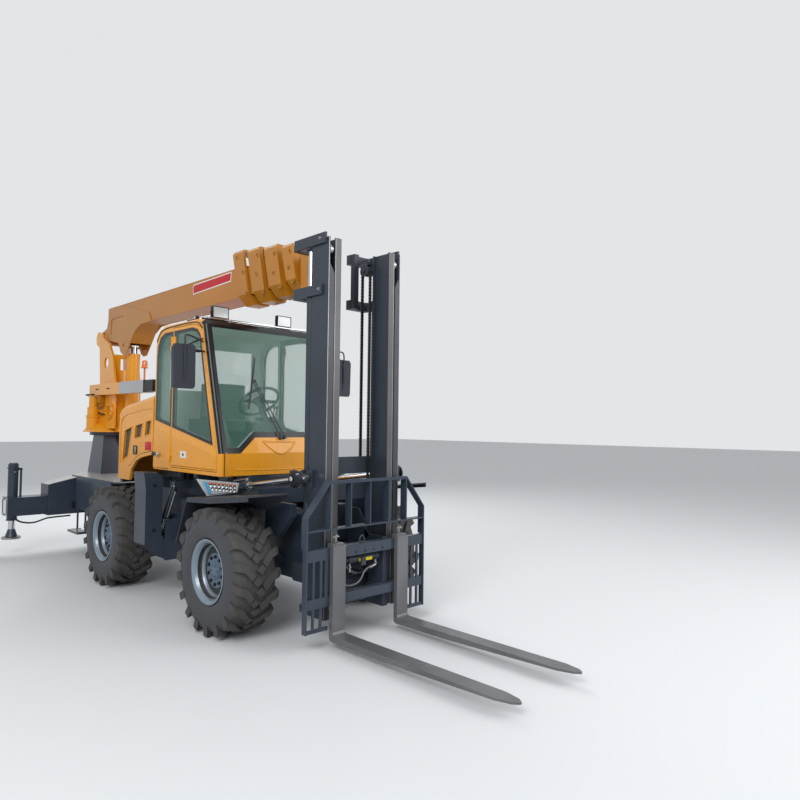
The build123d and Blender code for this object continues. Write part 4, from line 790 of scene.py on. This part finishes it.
pipes, glands = empty_meshes(2)
for side, letter, s in SIDES:
    add_rod(glands, on_tilt(s, 0.436), on_tilt(s, 0.452), 0.034, 32, 0.028)
    for run in (0.090, 0.400):
        add_rod(glands, on_tilt(s, run, 0, 0.036), on_tilt(s, run, 0, 0.064), 0.014, 6)
    add_rod(pipes, on_tilt(s, 0.400, 0, 0.058), on_tilt(s, 0.120, 0, 0.058), 0.009, 14)
    hose(f"tilt_hose_{letter}", [on_tilt(s, 0.120, 0, 0.058), on_tilt(s, 0.060, 0, 0.070), on_tilt(s, 0.000, 0, 0.078),
                                 on_tilt(s, -0.040, -0.080, 0.060), on_tilt(s, -0.060, -0.150, -0.020)],
         0.010, HOSE, "tilt_cylinders")
part("tilt_glands", glands, ZINC, "tilt_cylinders", "bright_steel")
part("tilt_pipes", pipes, ZINC, "tilt_cylinders", "bright_steel")
print("tilt cylinders piped")

# %% Stand cylinders and jacks
JACK_LOOP = [(-4.715, JACK_Y, 0.520), (-4.685, JACK_Y, 0.520), (-4.672, 1.270, 0.480), (-4.665, 1.200, 0.440),
             (-4.660, 1.060, 0.420), (-4.660, 0.940, 0.462), (-4.660, 0.860, 0.480), (-4.660, 0.600, 0.482)]


def on_stand(s, run, ahead=0.0):
    top, foot = Vector((-1.510, s * 0.580, 1.140)), Vector((-1.510, s * 0.735, 0.640))
    return top + (foot - top).normalized() * run + Vector((ahead, 0, 0))


for side, letter, s in SIDES:
    stand = bmesh.new()
    for start, end in ((0.376, 0.392), (0.020, 0.032)):
        add_rod(stand, on_stand(s, start), on_stand(s, end), 0.0355, 32)
    for run in (0.088, 0.350):
        add_rod(stand, on_stand(s, run, 0.030), on_stand(s, run, 0.058), 0.012, 6)
    add_rod(stand, on_stand(s, 0.350, 0.054), on_stand(s, 0.080, 0.054), 0.008, 12)
    part(f"stand_fittings_{letter}", stand, ZINC, f"stand_barrel_{side}", "bright_steel")
    pins = bmesh.new()
    for x in (-1.6405, -1.3795):
        along_x = (1 if x > -1.5 else -1, 0, 0)
        add_turned(pins, [(0, 0), (0.034, 0), (0.034, 0.008), (0.026, 0.012), (0, 0.012)], (x, s * 0.700, 0.437),
                   along_x, 24)
        for z in (0.700, 1.150):
            add_bolt(pins, (x, s * 0.860, z), along_x, 0.011, 0.012)
    part(f"stand_pins_{letter}", pins, NUT, f"stand_{side}", "chassis_paint")
    plate = bmesh.new()
    add_block(plate, (-4.860, s * 1.3755, 0.560), (-4.740, s * 1.3785, 0.740), 0.001)
    for z in (0.545, 0.755):
        for x in (-4.885, -4.715):
            add_bolt(plate, (x, s * 1.3755, z), (0, s, 0), 0.009, 0.010)
    part(f"beam_end_plate_{letter}", plate, WHITE, f"outrigger_{side}")
    collar = bmesh.new()
    for z, profile in ((0.464, [(0.0435, 0), (0.070, 0), (0.070, 0.012), (0.0435, 0.016)]),
                       (1.150, [(0.0625, 0), (0.072, 0.002), (0.072, 0.018), (0.0625, 0.020)]),
                       (1.2125, [(0, 0), (0.052, 0), (0.050, 0.010), (0.030, 0.014), (0, 0.014)])):
        add_turned(collar, profile, (CRANE_X, s * JACK_Y, z), UP, 36)
    add_bolt_ring(collar, 6, (CRANE_X, s * JACK_Y, 1.223), UP, 0.040, 0.006, 0.008)
    part(f"jack_collar_{letter}", collar, DARK, f"outrigger_{side}", "chassis_paint")
    jack_fit = bmesh.new()
    for z in (0.520, 1.110):
        add_rod(jack_fit, (-4.740, s * JACK_Y, z), (-4.712, s * JACK_Y, z), 0.015, 6)
    part(f"jack_fittings_{letter}", jack_fit, ZINC, f"outrigger_{side}", "bright_steel")
    hose(f"jack_hose_{letter}", on_side(s, JACK_LOOP), 0.011, HOSE, f"outrigger_{side}")
print("stands and jacks fitted")


# %% [markdown]
# ## Crane fittings
# Screws hold the wear pads inside each collar of the boom. Their heads are painted with it, and a dark disc
# sunk in each socket is painted shade. The turret carries control valves with levers, and a cap covers the boom's
# pin. The label on the boom is a bare red plate with a white rim.

# %% Boom collars and label
COLLARS = (("boom_base", (-0.948, 3.384), (-1.075, 3.560), (-0.870, 3.150)),
           ("boom_second", (-0.676, 3.515), (-0.686, 3.322), (-0.563, 3.121)),
           ("boom_third", (-0.367, 3.476), (-0.376, 3.281), (-0.250, 3.130)),
           ("boom_fourth", (-0.098, 3.450), (-0.117, 3.291), (-0.040, 3.150)))
for i, (body, *spots) in enumerate(COLLARS):
    heads, socket_shade = empty_meshes(2)
    for s in (1, -1):
        for x, z in spots:
            add_turned(heads, [(0.011, 0.002), (0.014, 0.007), (0.022, 0.008), (0.025, 0.003), (0.025, -0.001)],
                       (x, s * 0.160, z), (0, s, 0), 24)
            # Each socket holds a dark disc below the head's rim, painted shade in the hole.
            add_turned(socket_shade, [(0, 0.003), (0.0125, 0.003), (0.0125, -0.001)], (x, s * 0.160, z), (0, s, 0), 16)
    part(f"collar_screws_{i + 1}", heads, BOOM_YELLOW, body, "body_paint")
    part(f"collar_socket_shade_{i + 1}", socket_shade, CHAIN, body)
LABEL = [(-2.095, 3.418), (-1.215, 3.434), (-1.225, 3.326), (-2.092, 3.300)]
POCKET = [(-4.580, 3.060), (-4.585, 3.200), (-4.560, 3.275), (-4.480, 3.290), (-4.220, 3.290), (-4.150, 3.280)]
MIDDLE_X, MIDDLE_Z, RIM_Y, FACE_Y = -1.657, 3.3695, 0.1405, 0.1415
INNER = [(MIDDLE_X + (x - MIDDLE_X) * 0.972, z + (0.013 if z < MIDDLE_Z else -0.013)) for x, z in LABEL]
for side, letter, s in SIDES:
    rim, face = empty_meshes(2)
    add_plate(rim, at_y(s * RIM_Y, LABEL), (0, s * 0.0015, 0))
    add_plate(face, at_y(s * FACE_Y, INNER), (0, s * 0.0015, 0))
    part(f"boom_label_rim_{letter}", rim, WHITE, "boom_base")
    part(f"boom_label_{letter}", face, RED, "boom_base")
    seam = bmesh.new()
    add_rod(seam, (-3.560, s * 0.142, 3.122), (-1.080, s * 0.142, 3.122), 0.007, 10)
    add_rod(seam, (-4.700, s * 0.138, 3.446), (-1.180, s * 0.138, 3.446), 0.006, 10)
    part(f"boom_welds_{letter}", seam, BOOM_YELLOW, "boom_base", "body_paint")
    boss = bmesh.new()
    add_turned(boss, [(0, 0.012), (0.030, 0.012), (0.034, 0.020), (0.052, 0.020), (0.060, 0.012), (0.082, 0.010),
                      (0.086, 0)], (-4.760, s * 0.150, 3.000), (0, s, 0), 36)
    part(f"boom_pin_cap_{letter}", boss, BOOM_YELLOW, "boom_base", "body_paint")
    hose(f"boom_pocket_{letter}", at_y(s * 0.152, POCKET), 0.008, BOOM_YELLOW, "boom_base")
print("boom dressed")

# %% Turret, valves and levers
turret_bolts, levers, grips, gear = empty_meshes(4)
add_bolt_ring(turret_bolts, 16, (CRANE_X, 0, 1.6625), UP, 0.345, 0.012, 0.018)
add_bolt_ring(turret_bolts, 10, (CRANE_X, -0.286, 1.699), UP, 0.080, 0.008, 0.010)
for s in (1, -1):
    add_bolt_ring(turret_bolts, 8, (-4.431, s * 0.2135, 1.948), (0, s, 0), 0.095, 0.009, 0.010)
part("turret_bolts", turret_bolts, BOOM_YELLOW, "turret_body", "body_paint")
for i in range(5):
    x = -4.940 + i * 0.070
    add_rod(levers, (x, -0.268, 2.150), (x - 0.004, -0.330, 2.180), 0.006, 10)
    add_ball(grips, (x - 0.004, -0.336, 2.183), 0.014)
    add_block(gear, (x - 0.025, -0.268, 2.070), (x + 0.025, -0.188, 2.176), 0.006)
    add_rod(gear, (x, -0.230, 2.010), (x, -0.230, 2.072), 0.016, 16)
add_block(gear, (-4.975, -0.262, 2.060), (-4.625, -0.190, 2.074), 0.003)
for x in (-4.955, -4.645):
    add_block(gear, (x - 0.012, -0.250, 2.020), (x + 0.012, -0.185, 2.062), 0.002)
part("valve_levers", levers, CHROME, "turret_body", "bright_steel")
part("lever_grips", grips, LAMP_BODY, "turret_body", "trim_black")
part("valve_blocks", gear, BOOM_YELLOW, "turret_body", "body_paint")
slots = bmesh.new()
for x in (-4.720, -4.300):
    add_rod(slots, (x - 0.045, -0.2700, 2.262), (x + 0.045, -0.2700, 2.262), 0.009, 12)
part("valve_box_slots", slots, LAMP_BODY, "turret_body")
for i, x in enumerate((-4.910, -4.770)):
    hose(f"turret_hose_{i}", [(x, -0.230, 2.015), (x, -0.232, 1.960), (x + 0.040, -0.232, 1.915),
                              (x + 0.120, -0.215, 1.900), (x + 0.150, -0.180, 1.900)], 0.011, HOSE, "turret_body")
print("turret fittings done")


# %% [markdown]
# ## Cab inside
# The seat is three vinyl cushions, crowned and drawn in between their corners. Each starts as a
# subdivided block, then its top is lifted and its sides pulled in by the same smooth curve. The
# armrests, the levers with their round grips and the wheel's cap are simple forms.

# %% Seat cushions and controls
def cushion(name, low, high, crown, pull, material):
    bm = bmesh.new()
    add_block(bm, (-0.5, -0.5, -0.5), (0.5, 0.5, 0.5))
    bmesh.ops.subdivide_edges(bm, edges=bm.edges[:], cuts=9, use_grid_fill=True)
    low, high = Vector(low), Vector(high)
    size, middle = high - low, (low + high) / 2
    for vert in bm.verts:
        u, v, w = vert.co * 2
        swell = (1 - u * u) * (1 - v * v)
        channel = 0.35 * max(0.0, cos(3 * pi * v)) ** 2 if w > 0.5 else 0.0
        rise = crown * swell * (1 - channel) if w > 0.5 else 0.0
        vert.co = Vector((middle.x + u * (size.x / 2 - pull * (1 - v * v)),
                          middle.y + v * (size.y / 2 - pull * (1 - u * u)), middle.z + w * size.z / 2 + rise))
    edges = [edge for edge in bm.edges if len(edge.link_faces) == 2 and edge.calc_face_angle() > 0.9]
    bmesh.ops.bevel(bm, geom=edges, offset=0.012, segments=2, profile=0.5, affect="EDGES", material=-1)
    piece = part(name, bm, material, "chassis", "trim_black", 60)


cushion("seat_cushion", (-1.570, -0.255, 1.694), (-1.050, 0.255, 1.812), 0.030, 0.006, SEAT_CLOTH)
cushion("seat_back_low", (-1.650, -0.248, 1.815), (-1.512, 0.248, 2.020), 0.010, 0.004, SEAT_CLOTH)
cushion("seat_back_high", (-1.650, -0.242, 2.022), (-1.520, 0.242, 2.225), 0.012, 0.010, SEAT_CLOTH)
inside_bits = bmesh.new()
for s in (1, -1):
    add_block(inside_bits, (-1.400, s * 0.320 - 0.020, 1.832), (-1.100, s * 0.380 + 0.020, 1.862), 0.010)
    for x in (-1.060, -1.110):
        add_rod(inside_bits, (x, s * 0.350, 1.828), (x + 0.030, s * 0.350, 1.960), 0.008, 12)
        add_ball(inside_bits, (x + 0.032, s * 0.350, 1.968), 0.020)
add_rod(inside_bits, (-0.855, 0, 2.038), (-0.835, 0, 2.015), 0.060, 32)
part("cab_controls", inside_bits, TRIM, "chassis", "trim_black")
print("cab furnished")


# %% [markdown]
# ## Chassis fittings
# Straps hold the tank and the box, bolts carry the steps, and two beams carry the cab.

# %% Straps, step bolts and cab beams
straps, chassis_bolts = empty_meshes(2)
for s in (1, -1):
    for x in (-1.180, -0.790):
        add_block(straps, (x - 0.018, s * 0.598, 0.556), (x + 0.018, s * 0.606, 1.004), 0.001)
        add_block(straps, (x - 0.018, s * 0.330, 0.999), (x + 0.018, s * 0.606, 1.005), 0.001)
        add_bolt(straps, (x, s * 0.606, 0.960), (0, s, 0), 0.011, 0.012)
    for x in (-4.380, -4.120):
        add_bolt(chassis_bolts, (x, s * 0.560, 0.3295), UP, 0.010, 0.008)
part("box_straps", straps, NUT, "chassis", "chassis_paint")
part("step_bolts", chassis_bolts, ZINC, "chassis", "bright_steel")
mounts = bmesh.new()
add_block(mounts, (-0.560, -0.420, 1.205), (-0.440, 0.420, 1.2885), 0.006)
add_block(mounts, (-1.150, -0.560, 1.205), (-1.050, 0.560, 1.2885), 0.006)
part("cab_mount_beams", mounts, DARK, "chassis", "chassis_paint")
print("chassis fittings done")


# %% [markdown]
# ## Floor and light
# The object stands on a plain pale floor in soft studio light. The camera, mirrors and glass see a
# brighter world than the one that lights the machine, and three lamps set most of its light.

# %% Floor, world and lamps
bm = bmesh.new()
bmesh.ops.create_grid(bm, x_segments=1, y_segments=1, size=60)
floor_mesh = bpy.data.meshes.new("floor")
bm.to_mesh(floor_mesh)
bm.free()
floor = show("floor", floor_mesh)
pale, shader = new_material("floor_pale")
set_inputs(shader, {"Base Color": (0.72, 0.74, 0.76, 1), "Roughness": 0.8})
floor_mesh.materials.append(pale)

WORLD_LIGHT, SEEN_EXTRA = 0.55, 0.25
world = bpy.data.worlds.new("studio")
scene.world = world
world.use_nodes = True
tree = world.node_tree
background = tree.nodes["Background"]
path = tree.nodes.new("ShaderNodeLightPath")
seen = math_node(tree, "ADD", path.outputs["Is Camera Ray"], path.outputs["Is Transmission Ray"], clamp=True)
seen = math_node(tree, "ADD", seen, path.outputs["Is Glossy Ray"], clamp=True)
background.inputs["Color"].default_value = (0.96, 0.98, 1.0, 1)
strength = math_node(tree, "ADD", math_node(tree, "MULTIPLY", seen, SEEN_EXTRA), WORLD_LIGHT)
tree.links.new(strength, background.inputs["Strength"])


def area_lamp(name, place, target, size, watts):
    data = bpy.data.lights.new(name, "AREA")
    data.size = size
    data.energy = watts
    lamp = show(name, data)
    lamp.location = place
    lamp.rotation_mode = "QUATERNION"
    lamp.rotation_quaternion = (Vector(target) - Vector(place)).to_track_quat("-Z", "Y")


area_lamp("key", (6.0, -7.5, 7.0), (0, 0, 1.2), 5.0, 560)
area_lamp("fill", (8.5, 4.0, 5.0), (1, 0, 1.2), 6.0, 320)
area_lamp("rim", (-7.0, 4.0, 7.0), (-1, 0, 1.5), 5.0, 420)
scene.view_settings.view_transform = "Standard"
